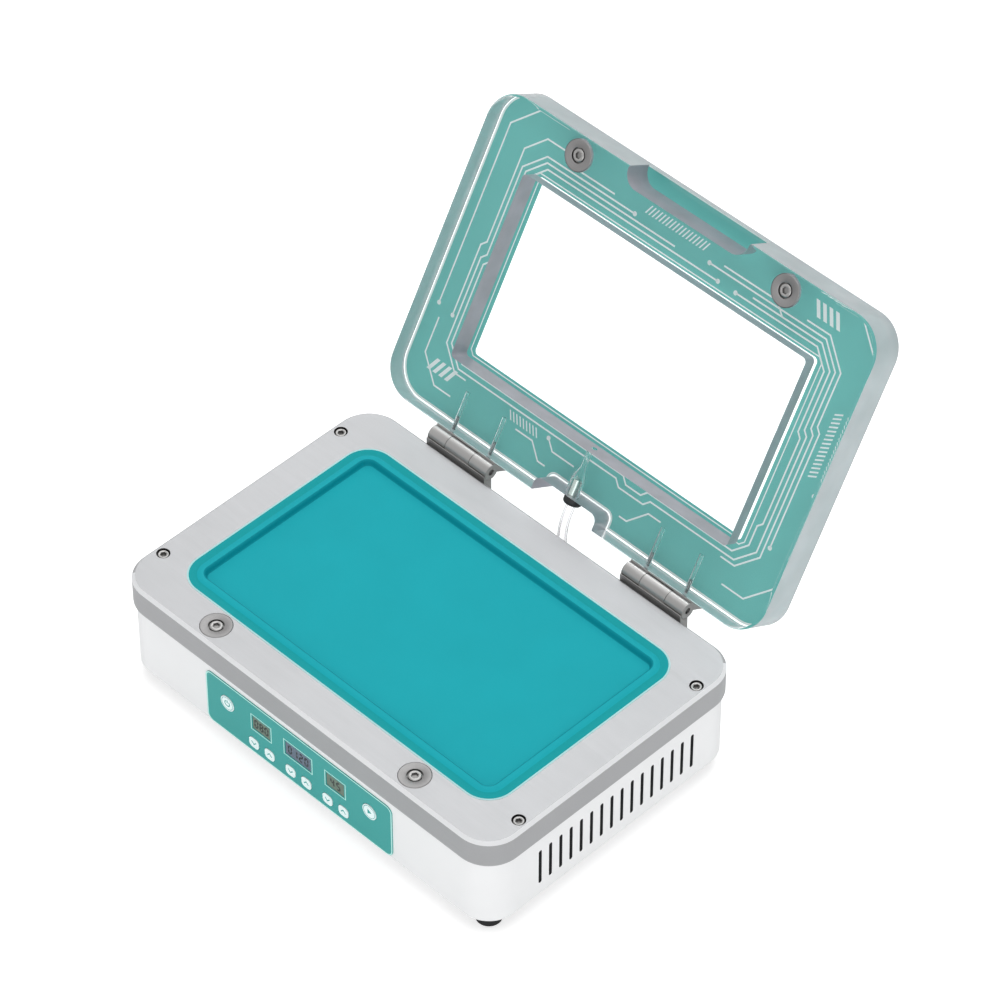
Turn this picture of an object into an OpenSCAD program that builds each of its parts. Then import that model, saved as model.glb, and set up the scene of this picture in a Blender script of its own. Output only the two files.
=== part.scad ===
/* [Top plate] */
// Width of the aluminium top plate
plate_w = 310; // [296:1:350]
// Depth of the top plate, front to rear
plate_d = 207; // [198:1:240]
// Thickness of the top plate
plate_t = 19; // [17:0.5:26]
// Corner radius of the top plate
plate_r = 22; // [19:0.5:26]
// Chamfer round the plate's top edge
plate_chamfer = 2; // [0.8:0.1:3]
// Distance of the plate screws from the plate's sides
plate_screw_side = 7.2; // [6.8:0.1:8]
// Distance of the plate screws from the plate's front and rear
plate_screw_end = 31; // [28:0.5:34]

/* [Housing] */
// Height of the white housing
housing_h = 50; // [48:1:70]
// Step from the plate's edge in to the housing's wall
housing_inset = 2; // [1:0.1:2.4]
// Wall of the housing
housing_wall = 2.5; // [2:0.1:3]
// Thickness of the bottom plate
bottom_t = 2; // [1.5:0.1:3]
// Diameter of a rubber foot
foot_d = 16; // [14:0.5:18]
// Height of a rubber foot
foot_h = 10; // [8:0.5:15]
// Distance of a foot's centre from the plate's sides
foot_inset = 16; // [15:0.5:17]

/* [Vents] */
// Number of vent slots in each side wall
vent_count = 16; // [4:1:16]
// Spacing of the vent slots
vent_pitch = 8.34; // [6:0.02:8.4]
// Width of a vent slot
vent_w = 2.5; // [1.5:0.1:4]
// Length of a vent slot
vent_len = 27.6; // [16:0.2:30]
// Distance of the first slot from the plate's front
vent_first = 43.2; // [41:0.2:46]
// Distance of the slots below the housing's top edge
vent_drop = 13; // [8:0.5:15]

/* [Mat] */
// Margin of aluminium round the silicone mat
mat_margin = 24.4; // [22:0.2:28]
// Corner radius of the mat
mat_r = 18; // [16:0.5:24]
// Width of the mat's raised rim
rim_w = 13.2; // [10:0.2:15]
// Height of the rim's crest above the plate
bead_h = 0.7; // [0.3:0.05:0.8]
// Fall of the rim from its crest to its edges
bead_fall = 0.9; // [0.5:0.05:1.2]
// Depth of the mat's recess in the plate
mat_recess = 5; // [4:0.1:6]
// Thickness of the mat's flat field
field_t = 2; // [1:0.1:3]

/* [Lid] */
// Width of the acrylic lid
lid_w = 308; // [290:1:348]
// Depth of the lid, hinge edge to free edge
lid_d = 205.4; // [194:0.2:238]
// Thickness of the lid
lid_t = 24.7; // [22.5:0.1:30]
// Corner radius of the lid
lid_r = 22; // [18:0.5:26]
// Bevel round both faces of the lid
lid_chamfer = 0.8; // [0.4:0.1:1.2]
// Distance from the plate's rear edge in to the closed lid's rear edge
lid_set = 0.8; // [0.5:0.1:1]
// Gap between the plate and the closed lid
lid_gap = 1; // [1:0.1:1.6]
// Angle to which the lid opens
lid_open = 120; // [100:1:124]
// Width of the pocket in the lid's inner face
pocket_w = 227; // [200:1:228]
// Depth of the pocket, hinge side to free side
pocket_d = 124.2; // [110:0.2:125]
// Distance of the pocket from the lid's hinge edge
pocket_rear = 41.3; // [41:0.1:43]
// How deep the pocket goes into the lid
pocket_h = 15; // [14.8:0.1:19]
// Corner radius of the pocket
pocket_r = 3; // [2:0.5:6]
// Width of the seal groove
groove_w = 3; // [2:0.1:4]
// Depth of the seal groove
groove_h = 1.5; // [0.8:0.1:2]
// Width of the finger pull
pull_w = 96; // [80:1:110]
// How far the finger pull goes in from the free edge
pull_in = 11; // [9:0.5:13]
// Depth of the finger pull into the lid's thickness
pull_h = 20; // [14:0.5:20.5]
// Corner radius of the finger pull
pull_r = 10; // [4:0.5:10.5]
// Width of the hose notch in the hinge edge
notch_w = 50; // [40:1:60]
// How far the notch goes in from the hinge edge
notch_in = 9.8; // [9.6:0.1:11]
// Corner radius of the notch
notch_r = 5; // [3:0.5:6]

/* [Hinges] */
// Distance of each hinge's centre from the middle
hinge_x = 81; // [70:1:95]
// Length of a hinge
hinge_l = 49; // [44:1:60]
// Radius of the hinge barrel
barrel_r = 5.3; // [4.5:0.1:5.6]
// Distance of the pin behind the plate
axis_back = 6.2; // [6:0.1:8]
// Height of the pin above the plate's top
axis_up = 3.2; // [3:0.1:4]
// Length of the middle knuckle
middle_knuckle_l = 20; // [16:1:22]
// Diameter of the hinge pin
pin_d = 4; // [3:0.1:5]

/* [Catches] */
// Distance of each catch disc from the middle
catch_x = 82.6; // [70:0.2:95]
// Diameter of a catch disc
catch_d = 20; // [16:0.5:21]
// Distance of the base discs' centres from the plate's front
catch_front = 13.2; // [12:0.1:13.4]
// Thickness of a catch disc
catch_t = 3; // [2.6:0.1:4]

/* [Front panel] */
// Width of the front panel
panel_w = 156; // [150:1:180]
// Height of the front panel
panel_h = 42; // [41:0.5:46]
// Thickness of the front panel
panel_t = 0.6; // [0.3:0.1:1]
// Corner radius of the front panel
panel_r = 5; // [2:0.5:8]
// Shift of the panel's centre from the middle
panel_x = -2.8; // [-10:0.2:10]
// Distance of the round buttons from the panel's centre
round_key_x = 59.7; // [57:0.1:62]
// Diameter of a round button
round_key_d = 11; // [9:0.5:12]
// Spacing of the three displays
display_pitch = 31.1; // [29:0.1:33]
// Width of the outer displays
small_display_w = 14.4; // [12:0.1:16]
// Width of the middle display
big_display_w = 21.1; // [18:0.1:22]
// Height of a display
display_h = 10; // [8:0.1:11]
// Width and height of a small key
key_w = 8; // [7:0.1:8.4]
// Distance of a small key from its display's centre
key_offset = 6.65; // [6.5:0.05:6.9]
// Travel of a key when it is pressed
key_travel = 0.5; // [0.3:0.05:0.8]

/* [Hose] */
// Outer diameter of the air hose
hose_d = 6; // [4:0.5:6.5]
// Depth of the hose passage below the lid's inner face
passage_h = 8.6; // [8:0.05:9.4]
// Height of the elbow above the floor
elbow_z = 37.5; // [36:0.5:39]

/* [Hidden] */
$fn = 96;

// Cuts run this far past the face that they open
overrun = 1;
// Clearance of a screw or pin in its bore, all round
bore_gap = 0.05;
// Gap round a piece that drops into a cut-out
drop_gap = 0.25;
// Gap between pieces that pass each other as they move
pass_gap = 0.3;

// A foot's lower edge and the hollow for its screw
foot_taper = 1.2;
foot_floor = 4;
foot_bore_d = 9;

// Heights above the floor
plate_base = foot_h + housing_h;
plate_top = plate_base + plate_t;
bottom_top = foot_h + bottom_t;

// The housing's walls, from the plate's front edge
wall_out = housing_inset;
wall_in = housing_inset + housing_wall;
rear_out = plate_d - wall_out;
rear_in = plate_d - wall_in;
side_in = plate_w / 2 - wall_in;
housing_r = plate_r - housing_inset;

// Socket head screws that hold the plate down
m4_d = 4;
m4_head_d = 7;
m4_head_h = 4;
m4_socket_d = 3.4;
m4_socket_h = 2;
plate_bore_d = 8.5;
plate_bore_h = 4.5;
plate_screw_grip = 12;
side_boss_d = 9;
screw_x = plate_w / 2 - plate_screw_side;
screw_y = [plate_screw_end, plate_d - plate_screw_end];

// M3 screws used inside
m3_d = 3;
m3_head_d = 5.6;
m3_head_h = 1.9;
m3_socket_d = 2.4;
m3_socket_h = 1.2;
m3_grip = 8;

// The mat's field, rim and bead
mat_w = plate_w - 2 * mat_margin;
mat_d = plate_d - 2 * mat_margin;
mat_y = plate_d / 2;
recess_gap = 0.2;
recess_floor = plate_top - mat_recess;
bead_line = rim_w / 2;
bead_r = (bead_line * bead_line + bead_fall * bead_fall) / (2 * bead_fall);

// Heater stack in the plate's underside
heat_inset = 8;
heat_w = mat_w - 2 * heat_inset;
heat_d = mat_d - 2 * heat_inset;
heat_r = 12;
heat_pocket_h = 9;
heat_gap = 0.5;
heater_t = 1.5;
clamp_t = 1;
clamp_border = 9;
clamp_screw_in = 4.5;
thermo_d = 16;
thermo_cap_d = 12;
thermo_h = 5;
thermo_cap_h = 5;
thermo_tab_w = 6.3;
thermo_tab_h = 7;
thermo_tab_t = 0.8;
thermo_tab_x = 3;
thermo_gap = 0.5;
heat_z = plate_base + heat_pocket_h;

// Catch discs and their countersunk screws
catch_proud = 0.3;
catch_floor_gap = 0.1;
csk_d = 8;
csk_h = 2;
catch_screw_l = 11;
lid_catch_proud = 0.2;
lid_catch_free = 12;
lid_catch_x_off = 0.1;

// The closed lid
lid_rear = plate_d - lid_set;
lid_front = lid_rear - lid_d;
lid_floor = plate_top + lid_gap;
lid_mid_y = lid_rear - lid_d / 2;
lid_top = lid_floor + lid_t;
axis_y = plate_d + axis_back;
axis_z = plate_top + axis_up;
print_t = 0.3;
print_margin = 0.8;
window_in = 1.5;
pull_x = 1;
passage_z = lid_floor + passage_h;
function opened_y(y, z) = axis_y + (y - axis_y) * cos(lid_open) + (z - axis_z) * sin(lid_open);
function opened_z(y, z) = axis_z - (y - axis_y) * sin(lid_open) + (z - axis_z) * cos(lid_open);
rear_most = max(
    opened_y(lid_front, lid_top - lid_chamfer),
    opened_y(lid_front + print_margin, lid_top + print_t)
);
y_mid = rear_most / 2;

// Hinge leaves
leaf_drop = 16;
leaf_screw_x = 15.5;
leaf_bore_z = lid_floor + lid_t / 2;
leaf_over = 4.5;
leaf_rise = leaf_bore_z + leaf_over - axis_z;
leaf_screw_drop = 12.2;
leaf_screw_l = 12;
leaf_head_d = 5.5;
leaf_head_h = 3;
lid_bore_h = 25.4;
lid_bore_d = 3.3;
pin_sunk = 1.2;

// Hose fitting in the lid
fitting_d = 10;
fitting_h = 12;
fitting_cone_h = 8;
fitting_bore_d = 4;
fitting_gap = 0.15;
ring_d = 11;
ring_end = 5;
ring_t = 4;

// Sockets on the rear wall keep their spread as the plate grows
rear_step = plate_w / 31;

// Elbow for the hose at the rear
elbow_x = -5 * rear_step;
elbow_out = 11.5;
elbow_y = rear_out + elbow_out;
elbow_d = 11;
elbow_rise = 11;
elbow_ring_d = 10;
elbow_ring_t = 2;
elbow_flange_d = 15;
elbow_flange_t = 3;
elbow_stub_d = 9.6;
elbow_stub_in = 9;
elbow_nut_d = 15;
elbow_nut_t = 4;

// Front panel, its keys and boards
panel_front = wall_out - panel_t;
panel_drop = 28;
display_drop = 22.9;
round_key_drop = 23.2;
key_drop = 40.5;
panel_mid_z = plate_base - panel_drop;
display_z = plate_base - display_drop;
round_key_z = plate_base - round_key_drop;
key_z = plate_base - key_drop;
key_r = 2.8;
key_proud = 0.4;
key_face = panel_front - key_proud;
display_sunk = 0.2;
flange_gap = 0.2;
flange_t = 0.8;
flange_border = 1;
flange_y = wall_in + flange_gap;
stem_d = 4;
stem_l = 0.8;
stem_end = flange_y + flange_t + stem_l;
touch_gap = 0.05;
plunger_y = stem_end + key_travel + touch_gap;
plunger_d = 3.4;
plunger_l = 0.8;
switch_w = 6;
switch_l = 3;
board_y = plunger_y + plunger_l + switch_l;
board_t = 1.6;
board_w = 150;
board_h = 38;
board_z = bottom_top + board_h / 2 + 1;
board_boss_d = 6;
board_screw_in = 4;
display_x = [-display_pitch, 0, display_pitch];
display_w = [small_display_w, big_display_w, small_display_w];

// Main board on its standoffs
main_w = 100;
main_d = 80;
main_x = -40;
main_y = 64;
standoff_d = 6;
standoff_h = 6;
main_screw_in = 4;
main_z = bottom_top + standoff_h;
cap_d = 16;
cap_h = 22;
cap_x = -30;
cap_y = 20;
relay_size = [19, 15, 15];
relay_x = 12;
relay_y = 18;
relay_pitch = 17;
chip_size = [14, 14, 2];
chip_y = -12;
plug_size = [30, 8, 11];
plug_y = -30;
plug_x = 25;

// Power supply
supply_size = [110, 60, 32];
supply_side = 71;
supply_back = 62;
supply_x = supply_side - plate_w / 2;
supply_y = rear_in - supply_back;
supply_slot_w = 3;
supply_slot_l = 36;
supply_slot_pitch = 9;
supply_wall = 1.2;
supply_screw_x = 40;

// Vacuum pump on its bracket
pump_side = 63;
pump_x = plate_w / 2 - pump_side;
pump_y = 98;
motor_d = 27;
motor_l = 40;
motor_cap_d = 10;
motor_cap_l = 3;
motor_boss_d = 12;
head_size = [32, 30, 36];
head_port_d = 5;
head_port_l = 9;
head_port_x = 8;
bracket_t = 2;
bracket_w = 44;
bracket_l = 40;
bracket_rise = 40;
pump_z = bottom_top + bracket_t + head_size[2] / 2;
bracket_screw_x = 18;

// Solenoid valve
valve_x = 30;
valve_back = 40;
valve_y = rear_in - valve_back;
valve_size = [20, 30, 18];
valve_coil_size = [16, 18, 16];
valve_port_d = 5;
valve_port_l = 8;

// Mains inlet and its switch on the rear wall
inlet_x = -11.2 * rear_step;
inlet_drop = 25;
inlet_z = plate_base - inlet_drop;
inlet_w = 27;
inlet_h = 20;
inlet_flange_w = 30.6;
inlet_flange_h = 23;
inlet_flange_t = 2.5;
inlet_body_l = 20;
inlet_hole_w = 24;
inlet_hole_h = 16.4;
inlet_hole_l = 16;
inlet_bevel = 4;
inlet_pin_w = 2;
inlet_pin_h = 4;
inlet_pin_l = 12;
inlet_pin_pitch = 7;
inlet_pin_shift = 2;
rocker_x = -7.6 * rear_step;
rocker_w = 13;
rocker_h = 19;
rocker_bezel = 2;
rocker_bezel_t = 2;
rocker_body_l = 14;
rocker_wall = 1.6;
rocker_gap = 0.3;
rocker_turn = 20;
rocker_r = rocker_h / 2 - rocker_wall;
rocker_face = 5;
rocker_dip = rocker_r * tan(rocker_turn / 2);
rocker_pin_d = 2.4;
rocker_pin_l = 1;
rocker_y = rear_out + 1;

// Route of the air hose from the lid's ring down to the elbow
hose_start = [0, opened_y(lid_rear - ring_end, passage_z), opened_z(lid_rear - ring_end, passage_z)];
hose_end = [elbow_x + elbow_rise + elbow_ring_t, elbow_y, elbow_z];
hose_drops = [
    [223, 86.5], [221, 83], [218.8, 78.3], [217.2, 72.8], [216.4, 67.2], [216.2, 61.5], [216.2, 55.3],
    [216.3, 49.5], [216.3, 44.5], [216.4, 40.7], [216.4, 38.3], [216.5, 37.5], [216.5, 37.5]
];
hose_sides_gone = [0, 0, 0, 0, 0, 0, 0.8, 3.2, 7, 12, 17.8, 24, 31];
hose_side_full = 37;
hose_route = [for (i = [0 : len(hose_drops) - 1]) [
    hose_end[0] * hose_sides_gone[i] / hose_side_full, hose_drops[i][0], hose_drops[i][1]
]];
hose_sides = 12;

// A rounded rectangle about its centre
module rounded_rect(w, d, r) {
    square([w - 2 * r, d], center = true);
    square([w, d - 2 * r], center = true);
    for (x = [-1, 1], y = [-1, 1]) {
        translate([x * (w / 2 - r), y * (d / 2 - r)]) circle(r);
    }
}

module slab(w, d, r, h) {
    linear_extrude(h) rounded_rect(w, d, r);
}

// A bevelled layer that narrows by its own height
module bevel_layer(w, d, r, c) {
    edge = [[0, 0], [r, 0], [r - c, c], [0, c]];
    for (x = [0, 1], y = [0, 1]) {
        mirror([x, 0, 0]) mirror([0, y, 0]) translate([w / 2 - r, d / 2 - r, 0])
            rotate_extrude(angle = 90) polygon(edge);
    }
    along_x(r - w / 2, w / 2 - r) polygon([[-d / 2, 0], [d / 2, 0], [d / 2 - c, c], [c - d / 2, c]]);
    for (x = [0, 1]) {
        mirror([x, 0, 0]) along_y(r - d / 2, d / 2 - r) translate([w / 2 - r, 0]) polygon(edge);
    }
}

// Gives a flat shape in X and Z its length from one depth to another
module along_y(from, to) {
    translate([0, to, 0]) rotate([90, 0, 0]) linear_extrude(to - from) children();
}

// Gives a flat shape in Y and Z its length along X
module along_x(from, to) {
    translate([from, 0, 0]) rotate([90, 0, 90]) linear_extrude(to - from) children();
}

// Puts the machine's middle over the origin
module place() {
    translate([0, -y_mid, 0]) children();
}

// Turns the closed lid open about the hinge pins
module in_lid() {
    place() translate([0, axis_y, axis_z]) rotate([-lid_open, 0, 0]) translate([0, -axis_y, -axis_z]) children();
}

module at_plate_screws() {
    for (x = [-1, 1], y = screw_y) translate([x * screw_x, y, 0]) children();
}

module at_feet() {
    for (x = [-1, 1], y = [foot_inset, plate_d - foot_inset]) {
        translate([x * (plate_w / 2 - foot_inset), y, 0]) children();
    }
}

module at_clamp_screws() {
    for (x = [-1, 0, 1], y = [-1, 1]) {
        translate([x * (heat_w / 2 + clamp_screw_in), mat_y + y * (heat_d / 2 + clamp_screw_in), 0]) children();
    }
}

module at_base_catches() {
    for (x = [-1, 1]) translate([x * catch_x, catch_front, 0]) children();
}

module at_lid_catches() {
    for (x = [-1, 1]) {
        translate([x * (catch_x - lid_catch_x_off), lid_front + lid_catch_free, 0]) children();
    }
}

module at_board_bosses() {
    for (x = [-1, 1], z = [-1, 1]) {
        translate([panel_x + x * (board_w / 2 - board_screw_in), 0, board_z + z * (board_h / 2 - board_screw_in)])
            children();
    }
}

module at_round_keys() {
    for (x = [-1, 1]) translate([panel_x + x * round_key_x, 0, round_key_z]) children();
}

module at_small_keys() {
    for (x = display_x, side = [-1, 1]) translate([panel_x + x + side * key_offset, 0, key_z]) children();
}

module at_standoffs() {
    for (x = [-1, 1], y = [-1, 1]) {
        translate([main_x + x * (main_w / 2 - main_screw_in), main_y + y * (main_d / 2 - main_screw_in), 0])
            children();
    }
}

module at_supply_screws() {
    for (x = [-1, 1]) translate([supply_x + x * supply_screw_x, supply_y, 0]) children();
}

module at_bracket_screws() {
    for (x = [-1, 1]) translate([pump_x + x * bracket_screw_x, pump_y + bracket_l / 2, 0]) children();
}

// A screw that points down from its head's top at zero, with a hexagonal socket
module cap_screw(d, head_d, head_h, socket_d, socket_h, l) {
    difference() {
        union() {
            translate([0, 0, -head_h]) cylinder(d = head_d, h = head_h);
            translate([0, 0, -head_h - l]) cylinder(d = d, h = l + head_h / 2);
        }
        translate([0, 0, -socket_h]) cylinder(d = socket_d, h = socket_h + overrun, $fn = 6);
    }
}

// A countersunk screw that points down from its flat head's top at zero
module flat_screw(d, head_d, head_h, l) {
    difference() {
        union() {
            translate([0, 0, -head_h]) cylinder(d1 = d, d2 = head_d, h = head_h);
            translate([0, 0, -l]) cylinder(d = d, h = l - head_h / 2);
        }
        translate([0, 0, -m3_socket_h]) cylinder(d = m3_socket_d, h = m3_socket_h + overrun, $fn = 6);
    }
}

module catch_disc(t) {
    difference() {
        cylinder(d = catch_d, h = t);
        translate([0, 0, -overrun]) cylinder(d = m4_d + 2 * bore_gap, h = t + 2 * overrun);
        translate([0, 0, t - csk_h - bore_gap]) cylinder(d1 = m4_d, d2 = csk_d + 2 * bore_gap, h = csk_h + bore_gap);
        translate([0, 0, t]) cylinder(d = csk_d + 2 * bore_gap, h = overrun);
    }
}

// The white housing: four walls, vents, screw posts and the openings for the panel and the rear sockets
module base_housing() color("whitesmoke") place() difference() {
    union() {
        difference() {
            translate([0, plate_d / 2, foot_h])
                slab(plate_w - 2 * wall_out, plate_d - 2 * wall_out, housing_r, housing_h);
            translate([0, plate_d / 2, foot_h - overrun])
                slab(plate_w - 2 * wall_in, plate_d - 2 * wall_in, housing_r - housing_wall, housing_h + 2 * overrun);
        }
        at_plate_screws() {
            translate([0, 0, bottom_top]) cylinder(d = side_boss_d, h = plate_base - bottom_top);
        }
        at_board_bosses() along_y(wall_out + panel_t, board_y) circle(d = board_boss_d);
    }
    at_plate_screws() {
        translate([0, 0, plate_base - plate_screw_grip]) {
            cylinder(d = m4_d + 2 * bore_gap, h = plate_screw_grip + overrun);
        }
        translate([0, 0, bottom_top - overrun]) cylinder(d = m3_d + 2 * bore_gap, h = m3_grip + 2 * overrun);
    }
    at_board_bosses() along_y(board_y - m3_grip / 2, board_y + overrun) circle(d = m3_d + 2 * bore_gap);
    for (side = [-1, 1], i = [0 : vent_count - 1]) {
        translate([side * plate_w / 2, vent_first + i * vent_pitch, plate_base - vent_drop - vent_len / 2])
            vent_slot();
    }
    at_round_keys() along_y(0, wall_in + overrun) circle(d = round_key_d + 2 * drop_gap);
    at_small_keys() along_y(0, wall_in + overrun)
        rounded_rect(key_w + 2 * drop_gap, key_w + 2 * drop_gap, key_r + drop_gap);
    for (i = [0 : 2]) {
        translate([panel_x + display_x[i], 0, display_z]) along_y(0, wall_in + overrun)
            square([display_w[i] + 2 * drop_gap, display_h + 2 * drop_gap], center = true);
    }
    translate([inlet_x, 0, inlet_z]) along_y(rear_in - overrun, plate_d)
        square([inlet_w + 2 * drop_gap, inlet_h + 2 * drop_gap], center = true);
    translate([rocker_x, 0, inlet_z]) along_y(rear_in - overrun, plate_d)
        square([rocker_w + 2 * drop_gap, rocker_h + 2 * drop_gap], center = true);
    translate([elbow_x, 0, elbow_z]) along_y(rear_in - overrun, plate_d)
        circle(d = elbow_stub_d + 2 * bore_gap);
}

// One slot with round ends, through a side wall
module vent_slot() {
    reach = wall_in + overrun;
    along_x(-reach, reach) {
        square([vent_w, vent_len - vent_w], center = true);
        for (z = [-1, 1]) translate([0, z * (vent_len - vent_w) / 2]) circle(d = vent_w, $fn = 32);
    }
}

module bottom_plate() color("gainsboro") place() difference() {
    union() {
        translate([0, plate_d / 2, foot_h]) slab(
            2 * (side_in - drop_gap), plate_d - 2 * (wall_in + drop_gap),
            housing_r - housing_wall - drop_gap, bottom_t
        );
        at_standoffs() translate([0, 0, foot_h]) cylinder(d = standoff_d, h = bottom_t + standoff_h);
        at_feet() translate([0, 0, foot_h]) cylinder(d = m4_head_d, h = bottom_t + bottom_t);
    }
    at_plate_screws() {
        translate([0, 0, foot_h - overrun]) cylinder(d = m3_d + 2 * bore_gap, h = bottom_t + 2 * overrun);
    }
    at_standoffs() {
        translate([0, 0, main_z - standoff_h]) cylinder(d = m3_d + 2 * bore_gap, h = standoff_h + overrun);
    }
    at_feet() {
        translate([0, 0, foot_h - overrun]) cylinder(d = m4_d + 2 * bore_gap, h = 2 * bottom_t + 2 * overrun);
    }
    at_supply_screws() {
        translate([0, 0, foot_h - overrun]) cylinder(d = m3_d + 2 * bore_gap, h = bottom_t + 2 * overrun);
    }
    at_bracket_screws() {
        translate([0, 0, foot_h - overrun]) cylinder(d = m3_d + 2 * bore_gap, h = bottom_t + 2 * overrun);
    }
}

module bottom_plate_screws() color("silver") place() at_plate_screws() {
    translate([0, 0, foot_h - m3_head_h]) mirror([0, 0, 1])
        cap_screw(m3_d, m3_head_d, m3_head_h, m3_socket_d, m3_socket_h, m3_grip);
}

// Screws from below that hold the power supply and the pump's bracket
module chassis_screws() color("silver") place() {
    at_supply_screws() translate([0, 0, foot_h - m3_head_h]) mirror([0, 0, 1])
        cap_screw(m3_d, m3_head_d, m3_head_h, m3_socket_d, m3_socket_h, bottom_t + bracket_t);
    at_bracket_screws() translate([0, 0, foot_h - m3_head_h]) mirror([0, 0, 1])
        cap_screw(m3_d, m3_head_d, m3_head_h, m3_socket_d, m3_socket_h, bottom_t + bracket_t);
}

// Feet with a hollow for the screw's head
module rubber_feet() color("black") place() at_feet() rotate_extrude() polygon([
    [m4_d / 2 + bore_gap, foot_floor], [foot_bore_d / 2, foot_floor], [foot_bore_d / 2, 0],
    [foot_d / 2 - foot_taper, 0], [foot_d / 2, foot_taper], [foot_d / 2, foot_h], [m4_d / 2 + bore_gap, foot_h]
]);

module foot_screws() color("silver") place() at_feet() {
    translate([0, 0, foot_floor - m4_head_h / 2]) mirror([0, 0, 1]) cap_screw(
        m4_d, m4_head_d, m4_head_h / 2, m4_socket_d, m4_socket_h / 2, foot_h - foot_floor + 2 * bottom_t
    );
}

// The thick plate: bevelled edge, mat recess above, heater pocket below and bores for every screw
module top_plate() color("silver") place() difference() {
    translate([0, plate_d / 2, plate_base]) {
        slab(plate_w, plate_d, plate_r, plate_t - plate_chamfer);
        translate([0, 0, plate_t - plate_chamfer]) bevel_layer(plate_w, plate_d, plate_r, plate_chamfer);
    }
    translate([0, mat_y, recess_floor])
        slab(mat_w + 2 * recess_gap, mat_d + 2 * recess_gap, mat_r + recess_gap, mat_recess + overrun);
    translate([0, mat_y, plate_base - overrun])
        slab(heat_w + 2 * heat_gap, heat_d + 2 * heat_gap, heat_r + heat_gap, heat_pocket_h + overrun);
    at_plate_screws() {
        translate([0, 0, plate_top - plate_bore_h]) cylinder(d = plate_bore_d, h = plate_bore_h + overrun);
        translate([0, 0, plate_base - overrun]) cylinder(d = m4_d + 2 * bore_gap, h = plate_t);
    }
    at_clamp_screws() {
        translate([0, 0, plate_base - overrun]) cylinder(d = m3_d + 2 * bore_gap, h = m3_grip + overrun);
    }
    at_base_catches() {
        translate([0, 0, plate_top - catch_t + catch_proud])
            cylinder(d = catch_d + 2 * bore_gap, h = catch_t + overrun);
        translate([0, 0, plate_top - catch_screw_l]) cylinder(d = m4_d + 2 * bore_gap, h = catch_screw_l);
    }
    for (x = [-1, 1], s = [-1, 1]) {
        translate([x * hinge_x + s * leaf_screw_x, 0, axis_z - leaf_screw_drop])
            along_y(plate_d - leaf_screw_l, plate_d + overrun) circle(d = m3_d + 2 * bore_gap);
    }
}

module top_plate_screws() color("dimgray") place() at_plate_screws() {
    translate([0, 0, plate_top - plate_bore_h + m4_head_h]) cap_screw(
        m4_d, m4_head_d, m4_head_h, m4_socket_d, m4_socket_h, plate_t - plate_bore_h + plate_screw_grip - overrun
    );
}

// The mat's rim in section, from its inner edge out, above the field
module rim_section() intersection() {
    translate([0, -field_t / 2]) square([rim_w, mat_recess]);
    translate([bead_line, mat_recess - field_t + bead_h - bead_r]) circle(bead_r);
}

// The mat: a flat field inside a rim with a rounded crest, in one piece
module silicone_mat() color("darkturquoise") place() translate([0, mat_y, recess_floor]) {
    slab(mat_w, mat_d, mat_r, field_t);
    translate([0, 0, field_t]) {
        for (x = [0, 1], y = [0, 1]) {
            mirror([x, 0, 0]) mirror([0, y, 0]) translate([mat_w / 2 - mat_r, mat_d / 2 - mat_r, 0])
                rotate_extrude(angle = 90) translate([mat_r - rim_w, 0]) rim_section();
        }
        for (y = [0, 1]) {
            mirror([0, y, 0]) translate([0, mat_d / 2 - rim_w, 0])
                along_x(mat_r - mat_w / 2, mat_w / 2 - mat_r) rim_section();
        }
        for (x = [0, 1]) {
            mirror([x, 0, 0]) translate([mat_w / 2 - rim_w, 0, 0])
                along_y(mat_r - mat_d / 2, mat_d / 2 - mat_r) rim_section();
        }
    }
}

module heater_pad() color("orangered") place() translate([0, mat_y, heat_z - heater_t])
    slab(heat_w, heat_d, heat_r, heater_t);

module heat_insulation() color("beige") place() translate([0, mat_y, plate_base]) difference() {
    slab(heat_w, heat_d, heat_r, heat_pocket_h - heater_t);
    translate([0, 0, -overrun]) cylinder(d = thermo_d + 2 * thermo_gap, h = heat_pocket_h + overrun);
}

module heater_clamp_sheet() color("lightgray") place() difference() {
    translate([0, mat_y, plate_base - clamp_t])
        slab(heat_w + 2 * clamp_border, heat_d + 2 * clamp_border, heat_r + clamp_border, clamp_t);
    at_clamp_screws() {
        translate([0, 0, plate_base - clamp_t - overrun])
            cylinder(d = m3_d + 2 * bore_gap, h = clamp_t + 2 * overrun);
    }
    translate([0, mat_y, plate_base - clamp_t - overrun])
        cylinder(d = thermo_cap_d + 2 * thermo_gap, h = clamp_t + 2 * overrun);
}

module heater_clamp_screws() color("silver") place() at_clamp_screws() {
    translate([0, 0, plate_base - clamp_t - m3_head_h]) mirror([0, 0, 1])
        cap_screw(m3_d, m3_head_d, m3_head_h, m3_socket_d, m3_socket_h, m3_grip);
}

// A snap disc thermostat that touches the heater through the insulation
module thermostat() color("dimgray") place() translate([0, mat_y, heat_z - heater_t]) {
    translate([0, 0, -thermo_h]) cylinder(d = thermo_d, h = thermo_h);
    translate([0, 0, -thermo_h - thermo_cap_h]) cylinder(d = thermo_cap_d, h = thermo_cap_h + overrun);
    for (x = [-1, 1]) {
        translate([x * thermo_tab_x - thermo_tab_t / 2, -thermo_tab_w / 2, -thermo_h - thermo_cap_h - thermo_tab_h])
            cube([thermo_tab_t, thermo_tab_w, thermo_tab_h + overrun]);
    }
}

module base_catch_discs() color("lightgray") place() at_base_catches() {
    translate([0, 0, plate_top - catch_t + catch_proud]) catch_disc(catch_t);
}

module base_catch_screws() color("gray") place() at_base_catches() {
    translate([0, 0, plate_top + catch_proud]) flat_screw(m4_d, csk_d, csk_h, catch_screw_l);
}

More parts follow.
